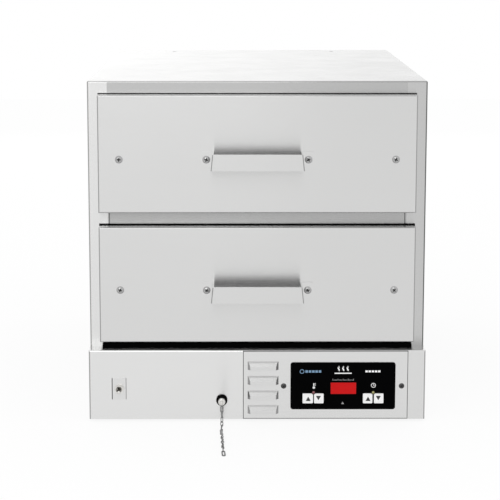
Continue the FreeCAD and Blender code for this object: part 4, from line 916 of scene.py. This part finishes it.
drainChain = {
    "line": [  # metres, from the eyelet down to the surface and forward over it
        (-0.0534, -0.3438, 0.0294),
        (-0.0532, -0.3448, 0.0185),
        (-0.0531, -0.3518, 0.0085),
        (-0.0533, -0.3628, 0.0029),
        (-0.0539, -0.3798, 0.0025),
        (-0.0530, -0.4018, 0.0025),
        (-0.0517, -0.4278, 0.0025),
        (-0.0515, -0.4508, 0.0025),
        (-0.0504, -0.4718, 0.0025),
    ],
    "length": 0.144,
    "width": 0.005, "wire": 0.00125, "linkLength": 0.0104,
    "twist": 111.0,  # degrees from each link to the next
    "endWidth": 0.006, "endWire": 0.0022, "endGap": 0.0002,
    "endHeading": (0.0011, -0.021, 0.0),
    "sharpAngle": 60.0,
}


def smoothLine(points):
    # Points along the smooth line that has these as its controls
    curve = bpy.data.curves.new("line", "CURVE")
    curve.dimensions = "3D"
    curve.resolution_u = 24
    spline = curve.splines.new("NURBS")
    spline.points.add(len(points) - 1)
    for spot, place in zip(spline.points, points):
        spot.co = (*place, 1.0)
    spline.order_u = 3
    spline.use_endpoint_u = True
    holder = bpy.data.objects.new("line", curve)
    mesh = bpy.data.meshes.new_from_object(holder)
    places = [v.co.copy() for v in mesh.vertices]
    bpy.data.objects.remove(holder)
    bpy.data.curves.remove(curve)
    bpy.data.meshes.remove(mesh)
    return places


def alongLine(places, distance):
    # The point and direction at a distance along a line
    for start, end in zip(places, places[1:]):
        step = (end - start).length
        if distance <= step:
            return start.lerp(end, distance / step), (end - start).normalized()
        distance -= step
    return places[-1].copy(), (places[-1] - places[-2]).normalized()


def linkPlace(point, direction, roll):
    # A link is drawn with its length along Y
    turn = Vector((0, 1, 0)).rotation_difference(direction).to_matrix().to_4x4()
    return Matrix.Translation(point) @ turn @ Matrix.Rotation(roll, 4, "Y")


chainPath = smoothLine(drainChain["line"])
chainRun = sum((b - a).length for a, b in zip(chainPath, chainPath[1:]))
linkLength, wire = drainChain["linkLength"], drainChain["wire"]
linkCount = round((chainRun - linkLength) / (linkLength - 2 * wire)) + 1
linkPitch = (chainRun - linkLength) / (linkCount - 1)
chainMesh = bmesh.new()
for number in range(linkCount):
    middle, heading = alongLine(chainPath, linkLength / 2 + number * linkPitch)
    roll = math.radians(drainChain["twist"]) * number
    addLink(chainMesh, linkLength, drainChain["width"], wire, linkPlace(middle, heading, roll))
chainPiece = finishMesh("drainChain", chainMesh, finish["chainSteel"], "drain_plug",
                        drainChain["sharpAngle"])
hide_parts("drain_chain")

endLow, endHigh = (Vector(corner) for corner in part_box("chain_ring"))
endHeading = Vector(drainChain["endHeading"]).normalized()
endMesh = bmesh.new()
addLink(endMesh, endHigh.y - endLow.y - drainChain["endGap"], drainChain["endWidth"],
        drainChain["endWire"], linkPlace((endLow + endHigh) / 2, endHeading, 0.0),
        steps=32, sides=12)
endPiece = finishMesh("chainEndLink", endMesh, finish["chainSteel"], "drain_plug",
                      drainChain["sharpAngle"])
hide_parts("chain_ring")
print("chain:", linkCount, "links over", round(chainRun, 4), "m")


# ---- camera, floor and light

studio = {
    "cameraPlace": (-0.0328, -2.6762, 0.7299),
    "cameraTurn": (math.pi / 2 - 0.1518, 0.0, -0.0029),
    "lens": 115.42, "sensor": 36.0, "shift": (0.0201, -0.14),
    "floorSide": 9.0, "floorGrey": 0.93,
    "ambient": 1.0, "floorAmbient": 0.85,
    "lamps": [  # place, aim, size, watts
        ((-0.6, -2.4, 1.7), (0.0, 0.0, 0.3), 1.6, 10.0),
        ((1.9, -1.4, 1.7), (0.0, 0.0, 0.25), 1.4, 1.0),
        ((0.0, 3.0, 1.3), (0.0, 0.0, 0.45), 2.0, 4.5),
    ],
}

cameraData = bpy.data.cameras.new("camera")
cameraData.lens = studio["lens"]
cameraData.sensor_width = studio["sensor"]
cameraData.sensor_fit = "HORIZONTAL"
cameraData.shift_x, cameraData.shift_y = studio["shift"]
camera = putInScene("camera", cameraData)
camera.location = studio["cameraPlace"]
camera.rotation_euler = studio["cameraTurn"]
bpy.context.scene.camera = camera


def seenDirectly(tree):
    # 1 for rays that reach the camera, or that gloss and glass show
    rays = addNode(tree, "ShaderNodeLightPath")
    seen = maths(tree, "MAXIMUM", rays.outputs["Is Camera Ray"], rays.outputs["Is Glossy Ray"])
    return maths(tree, "MAXIMUM", seen, rays.outputs["Is Transmission Ray"])


world = bpy.data.worlds.new("studio")
bpy.context.scene.world = world
world.use_nodes = True
worldTree = world.node_tree
sky = setInputs(worldTree.nodes["Background"], Color=grey(1.0))
brightness = addNode(worldTree, "ShaderNodeMix", data_type="FLOAT")
worldTree.links.new(seenDirectly(worldTree), brightness.inputs[0])
brightness.inputs[2].default_value = studio["ambient"]
brightness.inputs[3].default_value = 1.0
worldTree.links.new(brightness.outputs[0], sky.inputs["Strength"])

floorMesh = bmesh.new()
bmesh.ops.create_grid(floorMesh, x_segments=1, y_segments=1, size=studio["floorSide"] / 2)
floorMaterial, floorTree, floorShader = newMaterial("floor")
floor = meshObject("floor", floorMesh, [floorMaterial])
floorTree.nodes.remove(floorShader)
matt = setInputs(addNode(floorTree, "ShaderNodeBsdfDiffuse"), Color=grey(studio["floorGrey"]))
glow = setInputs(addNode(floorTree, "ShaderNodeEmission"), Color=grey(1.0))
mixed = addNode(floorTree, "ShaderNodeMixShader")
floorTree.links.new(maths(floorTree, "MULTIPLY", seenDirectly(floorTree), studio["floorAmbient"]),
                    mixed.inputs[0])
floorTree.links.new(matt.outputs[0], mixed.inputs[1])
floorTree.links.new(glow.outputs[0], mixed.inputs[2])
floorTree.links.new(mixed.outputs[0], floorTree.nodes["Material Output"].inputs["Surface"])

for number, (place, aim, size, watts) in enumerate(studio["lamps"]):
    lampData = bpy.data.lights.new(f"softbox{number}", "AREA")
    lampData.size = size
    lampData.energy = watts
    lamp = putInScene(f"softbox{number}", lampData)
    lamp.location = place
    lamp.rotation_euler = (Vector(aim) - Vector(place)).to_track_quat("-Z", "Y").to_euler()

bpy.context.scene.view_settings.view_transform = "Standard"
print("studio ready")
